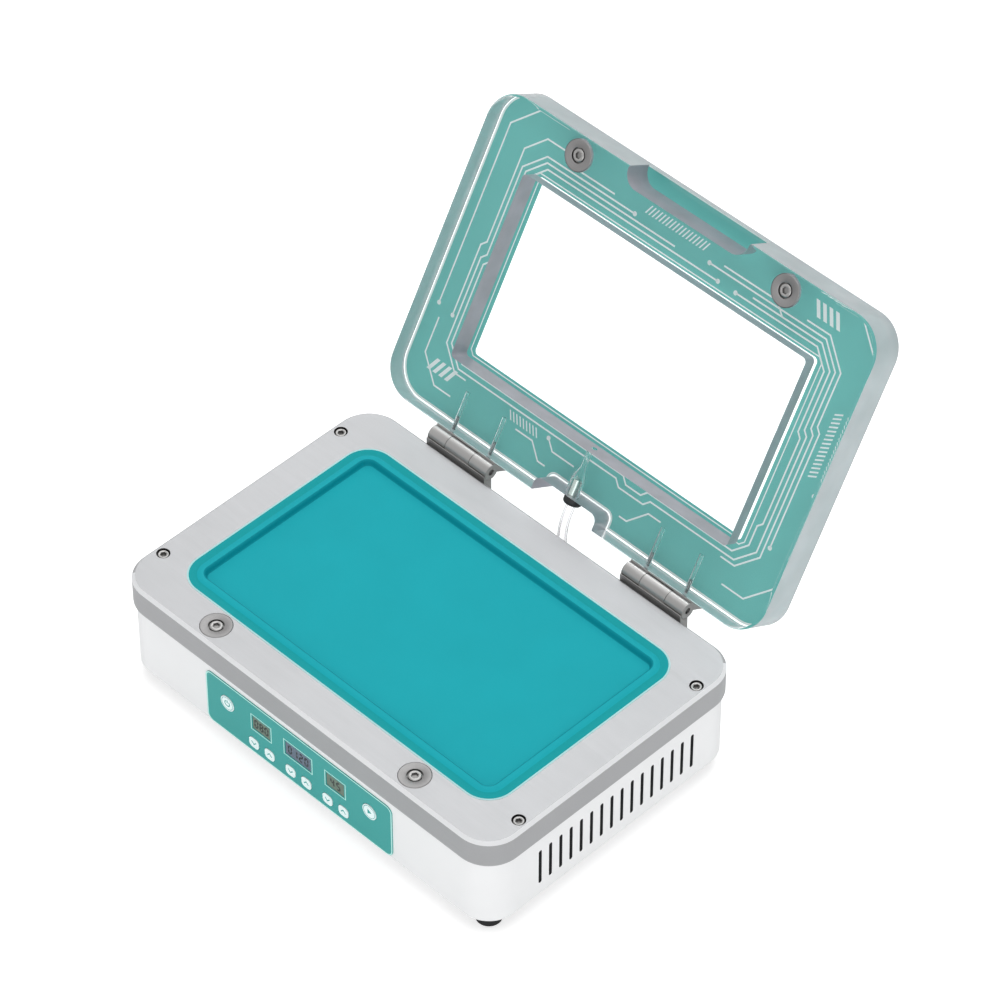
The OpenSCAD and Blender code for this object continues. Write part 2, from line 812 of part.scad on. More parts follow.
// The front panel's film, open at every key and display
module control_overlay() color("teal") place() difference() {
    translate([panel_x, 0, panel_mid_z]) along_y(panel_front, wall_out) rounded_rect(panel_w, panel_h, panel_r);
    at_round_keys() along_y(0, wall_in) circle(d = round_key_d + 2 * drop_gap);
    at_small_keys() along_y(0, wall_in)
        rounded_rect(key_w + 2 * drop_gap, key_w + 2 * drop_gap, key_r + drop_gap);
    for (i = [0 : 2]) {
        translate([panel_x + display_x[i], 0, display_z]) along_y(0, wall_in)
            square([display_w[i] + 2 * drop_gap, display_h + 2 * drop_gap], center = true);
    }
}

module display_block(i) place() translate([panel_x + display_x[i], 0, display_z])
    along_y(panel_front + display_sunk, board_y) square([display_w[i], display_h], center = true);

module left_display() color("darkolivegreen") display_block(0);

module centre_display() color("slategray") display_block(1);

module right_display() color("darkolivegreen") display_block(2);

module control_board() color("darkgreen") place() difference() {
    translate([panel_x, 0, board_z]) along_y(board_y, board_y + board_t) square([board_w, board_h], center = true);
    at_board_bosses() along_y(board_y - overrun, board_y + board_t + overrun) circle(d = m3_d + 2 * bore_gap);
}

module control_board_screws() color("silver") place() at_board_bosses() {
    translate([0, board_y + board_t + m3_head_h, 0]) rotate([-90, 0, 0])
        cap_screw(m3_d, m3_head_d, m3_head_h, m3_socket_d, m3_socket_h, m3_grip / 2);
}

module key_switch() {
    along_y(board_y - switch_l, board_y) square([switch_w, switch_w], center = true);
    along_y(plunger_y, board_y - switch_l) circle(d = plunger_d);
}

module key_switches() color("black") place() {
    at_round_keys() key_switch();
    at_small_keys() key_switch();
}

// A key: its cap through the wall, a flange behind the wall and a stem to the switch
module round_key(side) place() translate([panel_x + side * round_key_x, 0, round_key_z]) {
    along_y(key_face, flange_y + flange_t) circle(d = round_key_d);
    along_y(flange_y, flange_y + flange_t) circle(d = round_key_d + 2 * (drop_gap + flange_border));
    along_y(flange_y, stem_end) circle(d = stem_d);
}

module small_key(x, side) place() translate([panel_x + x + side * key_offset, 0, key_z]) {
    flange_w = key_w + 2 * (drop_gap + flange_border);
    along_y(key_face, flange_y + flange_t) rounded_rect(key_w, key_w, key_r);
    along_y(flange_y, flange_y + flange_t) rounded_rect(flange_w, flange_w, key_r);
    along_y(flange_y, stem_end) circle(d = stem_d);
}

module power_button() color("white") round_key(-1);

module start_button() color("white") round_key(1);

module left_down_key() color("white") small_key(display_x[0], -1);

module left_up_key() color("white") small_key(display_x[0], 1);

module centre_down_key() color("white") small_key(display_x[1], -1);

module centre_up_key() color("white") small_key(display_x[1], 1);

module right_down_key() color("white") small_key(display_x[2], -1);

module right_up_key() color("white") small_key(display_x[2], 1);

// The main board with its capacitor, relays, chip and plug strips
module main_board() color("green") place() difference() {
    translate([main_x, main_y, main_z]) {
        translate([-main_w / 2, -main_d / 2, 0]) cube([main_w, main_d, board_t]);
        translate([cap_x, cap_y, board_t / 2]) cylinder(d = cap_d, h = cap_h);
        for (i = [-1, 1]) {
            translate([relay_x - relay_size[0] / 2 + i * relay_pitch, relay_y - relay_size[1] / 2, board_t / 2])
                cube(relay_size);
            translate([i * plug_x - plug_size[0] / 2, plug_y - plug_size[1] / 2, board_t / 2]) cube(plug_size);
        }
        translate([-chip_size[0] / 2, chip_y - chip_size[1] / 2, board_t / 2]) cube(chip_size);
    }
    at_standoffs() {
        translate([0, 0, main_z - overrun]) cylinder(d = m3_d + 2 * bore_gap, h = board_t + 2 * overrun);
    }
}

module main_board_screws() color("silver") place() at_standoffs() {
    translate([0, 0, main_z + board_t + m3_head_h])
        cap_screw(m3_d, m3_head_d, m3_head_h, m3_socket_d, m3_socket_h, board_t + standoff_h - overrun);
}

// A power supply in a slotted sheet case
module power_supply() color("lightgray") place() translate([supply_x, supply_y, bottom_top]) difference() {
    translate([-supply_size[0] / 2, -supply_size[1] / 2, 0]) cube(supply_size);
    for (i = [-5 : 5]) {
        translate([i * supply_slot_pitch, 0, supply_size[2] - supply_wall])
            linear_extrude(supply_wall + overrun) rounded_rect(supply_slot_w, supply_slot_l, supply_slot_w / 3);
    }
    for (x = [-1, 1]) {
        translate([x * supply_screw_x, 0, -overrun])
            cylinder(d = m3_d + 2 * bore_gap, h = bracket_t + 2 * overrun);
    }
}

module vacuum_pump_motor() color("silver") place() translate([pump_x, 0, pump_z]) {
    along_y(pump_y - motor_l, pump_y) circle(d = motor_d);
    along_y(pump_y - motor_l - motor_cap_l, pump_y - motor_l + overrun) circle(d = motor_cap_d);
    along_y(pump_y - overrun, pump_y + bracket_t) circle(d = motor_boss_d);
}

module vacuum_pump_head() color("dimgray") place() translate([pump_x, pump_y + bracket_t, pump_z]) {
    translate([-head_size[0] / 2, 0, -head_size[2] / 2]) cube(head_size);
    for (x = [-1, 1]) {
        translate([x * head_port_x, 0, 0]) along_y(head_size[1] - overrun, head_size[1] + head_port_l)
            circle(d = head_port_d);
    }
}

// A bent sheet: a foot on the bottom plate and a face between motor and head
module pump_bracket() color("silver") place() translate([pump_x, pump_y, bottom_top]) difference() {
    union() {
        translate([-bracket_w / 2, 0, 0]) cube([bracket_w, bracket_l, bracket_t]);
        translate([-bracket_w / 2, 0, 0]) cube([bracket_w, bracket_t, bracket_rise]);
    }
    translate([0, 0, pump_z - bottom_top]) along_y(-overrun, bracket_t + overrun)
        circle(d = motor_boss_d + 2 * drop_gap);
    for (x = [-1, 1]) {
        translate([x * bracket_screw_x, bracket_l / 2, -overrun])
            cylinder(d = m3_d + 2 * bore_gap, h = bracket_t + 2 * overrun);
    }
}

// The valve that lets air back in: a ported block with its coil on top
module solenoid_valve() color("dimgray") place() translate([valve_x, valve_y, bottom_top]) {
    translate([-valve_size[0] / 2, -valve_size[1] / 2, 0]) cube(valve_size);
    translate([-valve_coil_size[0] / 2, -valve_coil_size[1] / 2, valve_size[2] - overrun])
        cube(valve_coil_size);
    translate([0, 0, valve_size[2] / 2])
        along_y(-valve_size[1] / 2 - valve_port_l, valve_size[1] / 2 + valve_port_l) circle(d = valve_port_d);
}

// A three pin mains inlet with bevelled lower corners
module inlet_outline(w, h) polygon([
    [-w / 2, h / 2], [w / 2, h / 2], [w / 2, inlet_bevel - h / 2], [w / 2 - inlet_bevel, -h / 2],
    [inlet_bevel - w / 2, -h / 2], [-w / 2, inlet_bevel - h / 2]
]);

module mains_inlet() color("black") place() translate([inlet_x, 0, inlet_z]) {
    back = rear_out + inlet_flange_t;
    difference() {
        union() {
            along_y(rear_out, back) rounded_rect(inlet_flange_w, inlet_flange_h, inlet_flange_t);
            along_y(back - inlet_body_l, back - overrun) square([inlet_w, inlet_h], center = true);
        }
        along_y(back - inlet_hole_l, back + overrun) inlet_outline(inlet_hole_w, inlet_hole_h);
    }
}

module mains_inlet_pins() color("silver") place() translate([inlet_x, 0, inlet_z]) {
    floor_y = rear_out + inlet_flange_t - inlet_hole_l;
    for (i = [-1 : 1]) {
        translate([i * inlet_pin_pitch, 0, i == 0 ? inlet_pin_shift : -inlet_pin_shift])
            along_y(floor_y, floor_y + inlet_pin_l) square([inlet_pin_w, inlet_pin_h], center = true);
    }
}

// The mains switch: a box with a bezel, open at the rear for the rocker
module rocker_switch_body() color("black") place() translate([rocker_x, 0, inlet_z]) {
    back = rear_out + rocker_bezel_t;
    difference() {
        union() {
            along_y(rear_out, back)
                rounded_rect(rocker_w + 2 * rocker_bezel, rocker_h + 2 * rocker_bezel, rocker_bezel);
            along_y(back - rocker_body_l, back - overrun) square([rocker_w, rocker_h], center = true);
        }
        along_y(back - rocker_body_l + rocker_wall, back + overrun)
            square([rocker_w - 2 * rocker_wall, rocker_h - 2 * rocker_wall], center = true);
        translate([0, rocker_y, 0]) rotate([0, 90, 0])
            cylinder(d = rocker_pin_d + 2 * bore_gap, h = rocker_w - rocker_wall + 2 * bore_gap, center = true);
    }
}

// The rocker: a round drum with a face of two slopes, on two stub pins
module power_rocker() color("black") place() translate([rocker_x, rocker_y, inlet_z])
    rotate([rocker_turn / 2, 0, 0]) {
        drum_w = rocker_w - 2 * rocker_wall - 2 * rocker_gap;
        pin_w = drum_w + 2 * rocker_pin_l;
        along_x(-drum_w / 2, drum_w / 2) intersection() {
            circle(rocker_r - rocker_gap);
            polygon([
                [-rocker_face, -rocker_r], [rocker_face, -rocker_r], [rocker_face - rocker_dip, 0],
                [rocker_face, rocker_r], [-rocker_face, rocker_r]
            ]);
        }
        along_x(-pin_w / 2, pin_w / 2) circle(d = rocker_pin_d);
    }

// Elbow for the hose: a threaded stub through the wall, a hexagon, a round elbow and a sideways port
module rear_elbow_fitting() color("dimgray") place() difference() {
    union() {
        translate([elbow_x, 0, elbow_z]) {
            along_y(rear_in - elbow_stub_in, rear_out + overrun) circle(d = elbow_stub_d);
            along_y(rear_out, rear_out + elbow_flange_t) circle(d = elbow_flange_d, $fn = 6);
            along_y(rear_out + elbow_flange_t - overrun, elbow_y) circle(d = elbow_d);
        }
        translate([elbow_x, elbow_y, elbow_z]) {
            sphere(d = elbow_d);
            along_x(0, elbow_rise) circle(d = elbow_d);
        }
    }
    translate([elbow_x, elbow_y, elbow_z]) along_x(0, elbow_rise + overrun) circle(d = fitting_bore_d);
    translate([elbow_x, 0, elbow_z]) along_y(rear_in - elbow_stub_in - overrun, elbow_y)
        circle(d = fitting_bore_d);
}

module rear_elbow_ring() color("black") place() translate([elbow_x + elbow_rise, elbow_y, elbow_z])
    along_x(0, elbow_ring_t) difference() {
        circle(d = elbow_ring_d);
        circle(d = fitting_bore_d);
    }

module rear_elbow_nut() color("silver") place() translate([elbow_x, 0, elbow_z])
    along_y(rear_in - elbow_nut_t, rear_in) difference() {
        circle(d = elbow_nut_d, $fn = 6);
        circle(d = elbow_stub_d + 2 * bore_gap);
    }

// The base leaf: a block down the plate's rear face, with the middle knuckle
module hinge_base_leaf(side) color("gray") place() translate([side * hinge_x, axis_y, axis_z]) difference() {
    union() {
        translate([-hinge_l / 2, -axis_back, -leaf_drop]) cube([hinge_l, axis_back, leaf_drop]);
        along_x(-middle_knuckle_l / 2, middle_knuckle_l / 2) circle(barrel_r);
    }
    for (s = [0, 1]) {
        mirror([s, 0, 0]) along_x(middle_knuckle_l / 2, hinge_l / 2 + overrun) circle(barrel_r + pass_gap);
    }
    along_x(-hinge_l / 2 - overrun, hinge_l / 2 + overrun) circle(d = pin_d + 2 * bore_gap);
    for (s = [-1, 1]) {
        translate([s * leaf_screw_x, 0, -leaf_screw_drop]) {
            along_y(-axis_back - overrun, overrun) circle(d = m3_d + 2 * bore_gap);
            along_y(-leaf_head_h, overrun) circle(d = leaf_head_d + 2 * bore_gap);
        }
    }
}

module hinge_base_leaf_left() hinge_base_leaf(-1);

module hinge_base_leaf_right() hinge_base_leaf(1);

module hinge_pin(side) color("dimgray") place() translate([side * hinge_x, axis_y, axis_z])
    along_x(pin_sunk - hinge_l / 2, hinge_l / 2 - pin_sunk) circle(d = pin_d);

module hinge_pin_left() hinge_pin(-1);

module hinge_pin_right() hinge_pin(1);

module hinge_base_screws() color("dimgray") place() {
    for (x = [-1, 1], s = [-1, 1]) {
        translate([x * hinge_x + s * leaf_screw_x, axis_y, axis_z - leaf_screw_drop]) rotate([-90, 0, 0])
            cap_screw(m3_d, leaf_head_d, leaf_head_h, m3_socket_d, m3_socket_h, axis_back + m3_grip - leaf_head_h);
    }
}

// The lid leaf, closed: a block up the lid's rear edge, with the two outer knuckles
module hinge_lid_leaf(side) color("gray") in_lid() translate([side * hinge_x, axis_y, axis_z]) difference() {
    lid_reach = axis_back + lid_set;
    union() {
        translate([-hinge_l / 2, -lid_reach, 0]) cube([hinge_l, lid_reach, leaf_rise]);
        for (s = [0, 1]) {
            mirror([s, 0, 0]) along_x(middle_knuckle_l / 2 + pass_gap, hinge_l / 2) circle(barrel_r);
        }
    }
    along_x(-middle_knuckle_l / 2 - pass_gap, middle_knuckle_l / 2 + pass_gap) circle(barrel_r + pass_gap);
    along_x(-hinge_l / 2 - overrun, hinge_l / 2 + overrun) circle(d = pin_d + 2 * bore_gap);
    for (s = [-1, 1]) {
        translate([s * leaf_screw_x, 0, leaf_bore_z - axis_z]) {
            along_y(-lid_reach - overrun, overrun) circle(d = m3_d + 2 * bore_gap);
            along_y(-leaf_head_h, overrun) circle(d = leaf_head_d + 2 * bore_gap);
        }
    }
}

module hinge_lid_leaf_left() hinge_lid_leaf(-1);

module hinge_lid_leaf_right() hinge_lid_leaf(1);

module hinge_lid_screws() color("silver") in_lid() {
    for (x = [-1, 1], s = [-1, 1]) {
        translate([x * hinge_x + s * leaf_screw_x, axis_y, leaf_bore_z]) rotate([-90, 0, 0]) cap_screw(
            m3_d, leaf_head_d, leaf_head_h, m3_socket_d, m3_socket_h, axis_back + lid_set + m3_grip - leaf_head_h
        );
    }
}

// The finger pull in plan: a bay with round inner corners, open at the free edge
module pull_outline() {
    translate([pull_x, lid_front + pull_in - (pull_in + pull_r) / 2])
        rounded_rect(pull_w, pull_in + pull_r, pull_r);
}

// The notch in plan: a bay in the hinge edge for the hose
module notch_outline() {
    translate([0, lid_rear - notch_in + (notch_in + notch_r) / 2]) rounded_rect(notch_w, notch_in + notch_r, notch_r);
}

// The clear lid: pocket, seal groove, catch seats, finger pull, hose notch and bores
module lid_slab() color("paleturquoise") in_lid() difference() {
    translate([0, lid_mid_y, lid_floor]) {
        translate([0, 0, lid_chamfer]) slab(lid_w, lid_d, lid_r, lid_t - 2 * lid_chamfer);
        translate([0, 0, lid_t - lid_chamfer]) bevel_layer(lid_w, lid_d, lid_r, lid_chamfer);
        translate([0, 0, lid_chamfer]) mirror([0, 0, 1]) bevel_layer(lid_w, lid_d, lid_r, lid_chamfer);
    }
    translate([0, lid_rear - pocket_rear - pocket_d / 2, lid_floor - overrun])
        slab(pocket_w, pocket_d, pocket_r, pocket_h + overrun);
    translate([0, mat_y, lid_floor - overrun]) linear_extrude(groove_h + overrun) difference() {
        bead_ring(groove_w / 2);
        bead_ring(-groove_w / 2);
    }
    translate([0, 0, lid_floor - overrun]) linear_extrude(pull_h + overrun) pull_outline();
    translate([0, 0, lid_floor - overrun]) linear_extrude(lid_t + 2 * overrun) notch_outline();
    at_lid_catches() {
        translate([0, 0, lid_floor - overrun])
            cylinder(d = catch_d + 2 * bore_gap, h = catch_t - lid_catch_proud + overrun);
        translate([0, 0, lid_floor]) cylinder(d = m4_d + 2 * bore_gap, h = catch_screw_l);
    }
    translate([0, 0, passage_z]) {
        along_y(lid_rear - ring_end - ring_t - fitting_h, lid_rear) circle(d = fitting_d + 2 * fitting_gap);
        translate([0, lid_rear - ring_end - ring_t - fitting_h, 0]) rotate([90, 0, 0])
            cylinder(d1 = fitting_d + 2 * fitting_gap, d2 = fitting_bore_d, h = fitting_cone_h);
        along_y(lid_rear - pocket_rear - overrun, lid_rear - ring_end - ring_t - fitting_h) circle(d = fitting_bore_d);
    }
    for (x = [-1, 1], s = [-1, 1]) {
        translate([x * hinge_x + s * leaf_screw_x, 0, leaf_bore_z])
            along_y(lid_rear - lid_bore_h, lid_rear + overrun) circle(d = lid_bore_d);
    }
}

// The line of the mat's bead, grown by a distance
module bead_ring(grow) {
    rounded_rect(mat_w - 2 * bead_line + 2 * grow, mat_d - 2 * bead_line + 2 * grow, mat_r - bead_line + grow);
}

// The print on the lid's outer face, with its clear window
module lid_print() color("teal") in_lid() translate([0, 0, lid_top]) linear_extrude(print_t) difference() {
    translate([0, lid_mid_y]) rounded_rect(lid_w - 2 * print_margin, lid_d - 2 * print_margin, lid_r - print_margin);
    translate([0, lid_rear - pocket_rear - pocket_d / 2])
        rounded_rect(pocket_w - 2 * window_in, pocket_d - 2 * window_in, pocket_r);
    translate([0, lid_rear - notch_in - print_margin + (notch_in + notch_r) / 2])
        rounded_rect(notch_w + 2 * print_margin, notch_in + notch_r, notch_r);
}

module lid_catch_discs() color("lightgray") in_lid() at_lid_catches() {
    translate([0, 0, lid_floor + catch_t - lid_catch_proud]) mirror([0, 0, 1]) catch_disc(catch_t);
}

module lid_catch_screws() color("gray") in_lid() at_lid_catches() {
    translate([0, 0, lid_floor - lid_catch_proud]) mirror([0, 0, 1]) flat_screw(m4_d, csk_d, csk_h, catch_screw_l);
}

// The push fitting in the lid's passage, with a bore for the air
module lid_hose_fitting() color("silver") in_lid() translate([0, 0, passage_z]) difference() {
    along_y(lid_rear - ring_end - ring_t - fitting_h, lid_rear - ring_end - ring_t) circle(d = fitting_d);
    along_y(lid_rear - ring_end - ring_t - fitting_h - overrun, lid_rear) circle(d = fitting_bore_d);
}

module lid_fitting_ring() color("black") in_lid() translate([0, 0, passage_z]) difference() {
    along_y(lid_rear - ring_end - ring_t, lid_rear - ring_end) circle(d = ring_d);
    along_y(lid_rear - ring_end - ring_t - overrun, lid_rear) circle(d = fitting_bore_d);
}

// The air hose: rings of points swept along its route
function unit(v) = v / norm(v);
hose_points = concat([hose_start], hose_route, [hose_end]);
hose_last = len(hose_points) - 1;
function hose_way(i) =
    i == 0 ? [0, cos(lid_open), -sin(lid_open)] :
    i == hose_last ? [-1, 0, 0] :
    unit(hose_points[i + 1] - hose_points[i - 1]);
function hose_ring(i) =
    let (way = hose_way(i), across = unit(cross(way, [0, 1, 0])), over = cross(way, across))
    [for (k = [0 : hose_sides - 1]) hose_points[i]
        + across * hose_d / 2 * cos(360 * k / hose_sides)
        + over * hose_d / 2 * sin(360 * k / hose_sides)];

module air_hose() color("lavenderblush") place() polyhedron(
    points = [for (i = [0 : hose_last]) each hose_ring(i)],
    faces = concat(
        [[for (k = [hose_sides - 1 : -1 : 0]) k]],
        [for (i = [0 : hose_last - 1], k = [0 : hose_sides - 1]) let (
            a = i * hose_sides + k, b = i * hose_sides + (k + 1) % hose_sides
        ) each [[a, b, b + hose_sides], [a, b + hose_sides, a + hose_sides]]],
        [[for (k = [0 : hose_sides - 1]) hose_last * hose_sides + k]]
    )
);

base_housing();
bottom_plate();
bottom_plate_screws();
rubber_feet();
foot_screws();
chassis_screws();
top_plate();
top_plate_screws();
silicone_mat();
heater_pad();
heat_insulation();
heater_clamp_sheet();
heater_clamp_screws();
thermostat();
base_catch_discs();
base_catch_screws();
control_overlay();
left_display();
centre_display();
right_display();
control_board();
control_board_screws();
key_switches();
main_board();
main_board_screws();
power_supply();
vacuum_pump_motor();
vacuum_pump_head();
pump_bracket();
solenoid_valve();
mains_inlet();
mains_inlet_pins();
rocker_switch_body();
rear_elbow_fitting();
rear_elbow_ring();
rear_elbow_nut();
hinge_base_leaf_left();
hinge_base_leaf_right();
hinge_pin_left();
hinge_pin_right();
hinge_base_screws();
air_hose();
lid_slab();
lid_print();
lid_catch_discs();
lid_catch_screws();
lid_hose_fitting();
lid_fitting_ring();
hinge_lid_leaf_left();
hinge_lid_leaf_right();
hinge_lid_screws();
power_button();
start_button();
left_down_key();
left_up_key();
centre_down_key();
centre_up_key();
right_down_key();
right_up_key();
power_rocker();
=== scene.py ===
import math

import bmesh
import bpy
from mathutils import Matrix, Vector


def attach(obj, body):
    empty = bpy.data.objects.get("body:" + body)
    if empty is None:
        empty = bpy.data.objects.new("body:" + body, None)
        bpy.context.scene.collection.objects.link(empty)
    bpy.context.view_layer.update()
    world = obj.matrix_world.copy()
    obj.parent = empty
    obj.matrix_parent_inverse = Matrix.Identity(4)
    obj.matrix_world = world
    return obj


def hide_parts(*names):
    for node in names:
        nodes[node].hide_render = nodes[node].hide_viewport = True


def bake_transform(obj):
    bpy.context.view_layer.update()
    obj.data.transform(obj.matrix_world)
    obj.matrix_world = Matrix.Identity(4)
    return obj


# Lengths are in millimetres, unless a comment says otherwise, and this turns them into metres
MM = 0.001
# How far the frame's origin lies behind the plate's front edge
Y_MID = 169.37269

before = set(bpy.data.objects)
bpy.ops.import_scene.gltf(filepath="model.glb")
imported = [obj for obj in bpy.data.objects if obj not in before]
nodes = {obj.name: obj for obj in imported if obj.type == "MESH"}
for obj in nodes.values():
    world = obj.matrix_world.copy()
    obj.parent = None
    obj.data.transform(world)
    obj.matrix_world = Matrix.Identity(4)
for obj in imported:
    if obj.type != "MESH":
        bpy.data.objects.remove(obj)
scene = bpy.context.scene
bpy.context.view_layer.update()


# Places

def base_at(x, y, z):
    """A point from the plate's middle, its front edge and the floor."""
    return Vector((x, y - Y_MID, z)) * MM


# The open lid, as distances behind the plate's front edge and heights: the hinge edge of its inner
# face, the way from there to its free edge, and the way from its inner to its outer face
LID_REAR = (214.795, 89.362)
ALONG = (0.5, 0.8660254)
INTO = (0.8660254, -0.5)
LID_PLACE = Matrix((
    (1, 0, 0, 0),
    (0, ALONG[0], INTO[0], (LID_REAR[0] - Y_MID) * MM),
    (0, ALONG[1], INTO[1], LID_REAR[1] * MM),
    (0, 0, 0, 1),
))


# Camera

LENS = 184.4
SENSOR_W = 36
# Clipping and the distance below are in metres
CLIP_START = 0.1
CLIP_END = 20
AZIMUTH = math.radians(44.97)
ELEVATION = math.radians(45.12)
TARGET = base_at(-38.635, 202.714, 79)
DISTANCE = 3.0525


def make_camera():
    data = bpy.data.cameras.new("camera")
    data.lens = LENS
    data.sensor_width = SENSOR_W
    data.clip_start = CLIP_START
    data.clip_end = CLIP_END
    camera = bpy.data.objects.new("camera", data)
    scene.collection.objects.link(camera)
    look = Vector((
        -math.sin(AZIMUTH) * math.cos(ELEVATION),
        math.cos(AZIMUTH) * math.cos(ELEVATION),
        -math.sin(ELEVATION),
    ))
    camera.location = TARGET - look * DISTANCE
    camera.rotation_mode = "QUATERNION"
    camera.rotation_quaternion = look.to_track_quat("-Z", "Y")
    scene.camera = camera


make_camera()


# Materials

def rgb(red, green, blue):
    """Screen values from 0 to 255 as a linear colour."""
    def linear(v):
        v = v / 255
        return v / 12.92 if v <= 0.04045 else ((v + 0.055) / 1.055) ** 2.4
    return (linear(red), linear(green), linear(blue), 1)


# Sockets of a Mix node, for colours and for numbers
COLOUR_A, COLOUR_B, COLOUR_OUT = 6, 7, 2
NUMBER_A, NUMBER_B, NUMBER_OUT = 2, 3, 0


class Tree:
    """Short ways to add nodes to a node tree."""

    def __init__(self, tree):
        self.tree = tree

    def node(self, kind, inputs=None, **settings):
        made = self.tree.nodes.new(kind)
        for key, value in settings.items():
            setattr(made, key, value)
        for key, value in (inputs or {}).items():
            if isinstance(value, bpy.types.NodeSocket):
                self.tree.links.new(value, made.inputs[key])
            else:
                made.inputs[key].default_value = value
        return made

    def link(self, source, target):
        self.tree.links.new(source, target)

    def maths(self, operation, first, second):
        """The outcome of a Math node with this operation."""
        return self.node("ShaderNodeMath", {0: first, 1: second}, operation=operation).outputs[0]


class Recipe(Tree):
    """A material with its Principled shader, and short ways to give it a finish."""

    def __init__(self, name, colour, roughness, metallic=0.0):
        self.material = bpy.data.materials.new(name)
        self.material.use_nodes = True
        super().__init__(self.material.node_tree)
        self.shader = self.tree.nodes["Principled BSDF"]
        self.output = self.tree.nodes["Material Output"]
        self.put("Base Color", colour)
        self.put("Roughness", roughness)
        self.put("Metallic", metallic)
        self.material.diffuse_color = colour

    def put(self, socket, value):
        self.shader.inputs[socket].default_value = value

    def noise(self, scale, stretch=(1, 1, 1), detail=3, rough=0.55):
        """Noise over the piece's own coordinates, in features per metre."""
        place = self.node("ShaderNodeTexCoord").outputs["Object"]
        spread = self.node("ShaderNodeMapping", {"Vector": place, "Scale": stretch})
        made = self.node("ShaderNodeTexNoise", {
            "Vector": spread.outputs["Vector"], "Scale": scale, "Detail": detail, "Roughness": rough,
        })
        return made.outputs["Fac"]

    def span(self, source, low, high, from_low=0.3, from_high=0.7):
        """The source, brought from one range to another."""
        made = self.node("ShaderNodeMapRange", {
            "Value": source, "From Min": from_low, "From Max": from_high, "To Min": low, "To Max": high,
        })
        return made.outputs["Result"]

    def blend(self, factor, first, second):
        """A colour between two, by the factor."""
        made = self.node(
            "ShaderNodeMix", {"Factor": factor, COLOUR_A: first, COLOUR_B: second}, data_type="RGBA",
        )
        return made.outputs[COLOUR_OUT]

    def tone(self, source, colour, spread):
        """Colour that drifts lighter and darker with the source."""
        light = tuple(min(1, c * (1 + spread)) for c in colour[:3]) + (1,)
        dark = tuple(c * (1 - spread) for c in colour[:3]) + (1,)
        mixed = self.blend(self.span(source, 0, 1), dark, light)
        self.link(mixed, self.shader.inputs["Base Color"])

    def polish(self, source, low, high):
        """Roughness that drifts between two values with the source."""
        self.link(self.span(source, low, high), self.shader.inputs["Roughness"])

    def bump(self, source, strength, distance):
        """A relief as deep as the distance, in metres, by the source."""
        made = self.node("ShaderNodeBump", {"Height": source, "Strength": strength, "Distance": distance})
        self.link(made.outputs["Normal"], self.shader.inputs["Normal"])


# Depths of relief, in metres
GRAIN_DEPTH = 0.00002
PEEL_DEPTH = 0.00003


def brushed(name, colour, roughness, stretch, bump=0.25, tone=0.04, metallic=1.0):
    """Metal with fine lines along one way and a slow drift of tone."""
    made = Recipe(name, colour, roughness, metallic)
    lines = made.noise(90, stretch, 4, 0.7)
    made.tone(made.noise(14, detail=2), colour, tone)
    made.polish(lines, roughness - 0.06, roughness + 0.08)
    made.bump(lines, bump, GRAIN_DEPTH)
    return made


def turned(name, colour, roughness):
    """Metal with a fine even grain, as turned or ground parts have."""
    made = Recipe(name, colour, roughness, 1.0)
    fine = made.noise(1400, detail=4, rough=0.7)
    made.tone(made.noise(60, detail=3), colour, 0.08)
    made.polish(fine, roughness - 0.07, roughness + 0.1)
    made.bump(fine, 0.2, GRAIN_DEPTH)
    return made


def moulded(name, colour, roughness, grain=900, bump=0.15, tone=0.03, gloss=0.5):
    """Plastic, rubber or paint with a fine orange peel and slight drift of tone."""
    made = Recipe(name, colour, roughness)
    fine = made.noise(grain, detail=3)
    made.tone(made.noise(25, detail=2), colour, tone)
    made.polish(fine, roughness - 0.05, roughness + 0.06)
    made.bump(fine, bump, PEEL_DEPTH)
    made.put("Specular IOR Level", gloss)
    return made


ACRYLIC_IOR = 1.49
# A bend of light this weak stands for a thin wall, filled as one solid in the mesh
TUBE_IOR = 1.15
SHADOW_TINT = (0.94, 0.97, 0.965, 1)


def see_light_through(made, tint):
    """Lets the lamps' light straight through a clear piece."""
    rays = made.node("ShaderNodeLightPath").outputs["Is Shadow Ray"]
    clear = made.node("ShaderNodeBsdfTransparent", {"Color": tint})
    mixed = made.node(
        "ShaderNodeMixShader", {"Fac": rays, 1: made.shader.outputs["BSDF"], 2: clear.outputs["BSDF"]},
    )
    made.link(mixed.outputs["Shader"], made.output.inputs["Surface"])


def acrylic(name, colour, roughness, weight, haze, tone, drift=0, ior=ACRYLIC_IOR):
    """Clear or frosted plastic, where weight is how much it lets through and haze the scale of its tone."""
    made = Recipe(name, colour, roughness)
    made.put("Transmission Weight", weight)
    made.put("IOR", ior)
    made.tone(made.noise(haze, detail=2), colour, tone)
    if drift:
        made.polish(made.noise(haze * 3, detail=2), max(0, roughness - drift), roughness + drift)
    see_light_through(made, SHADOW_TINT)
    return made


def clear_tube(name, colour, edge):
    """Thin clear plastic, darker where one looks along its wall."""
    made = acrylic(name, colour, 0.0, 1.0, 60, 0.02, ior=TUBE_IOR)
    body = made.shader.inputs["Base Color"].links[0].from_socket
    facing = made.node("ShaderNodeLayerWeight").outputs["Facing"]
    shaded = made.blend(made.span(facing, 0, 1, 0.35, 0.75), body, edge)
    made.link(shaded, made.shader.inputs["Base Color"])
    return made


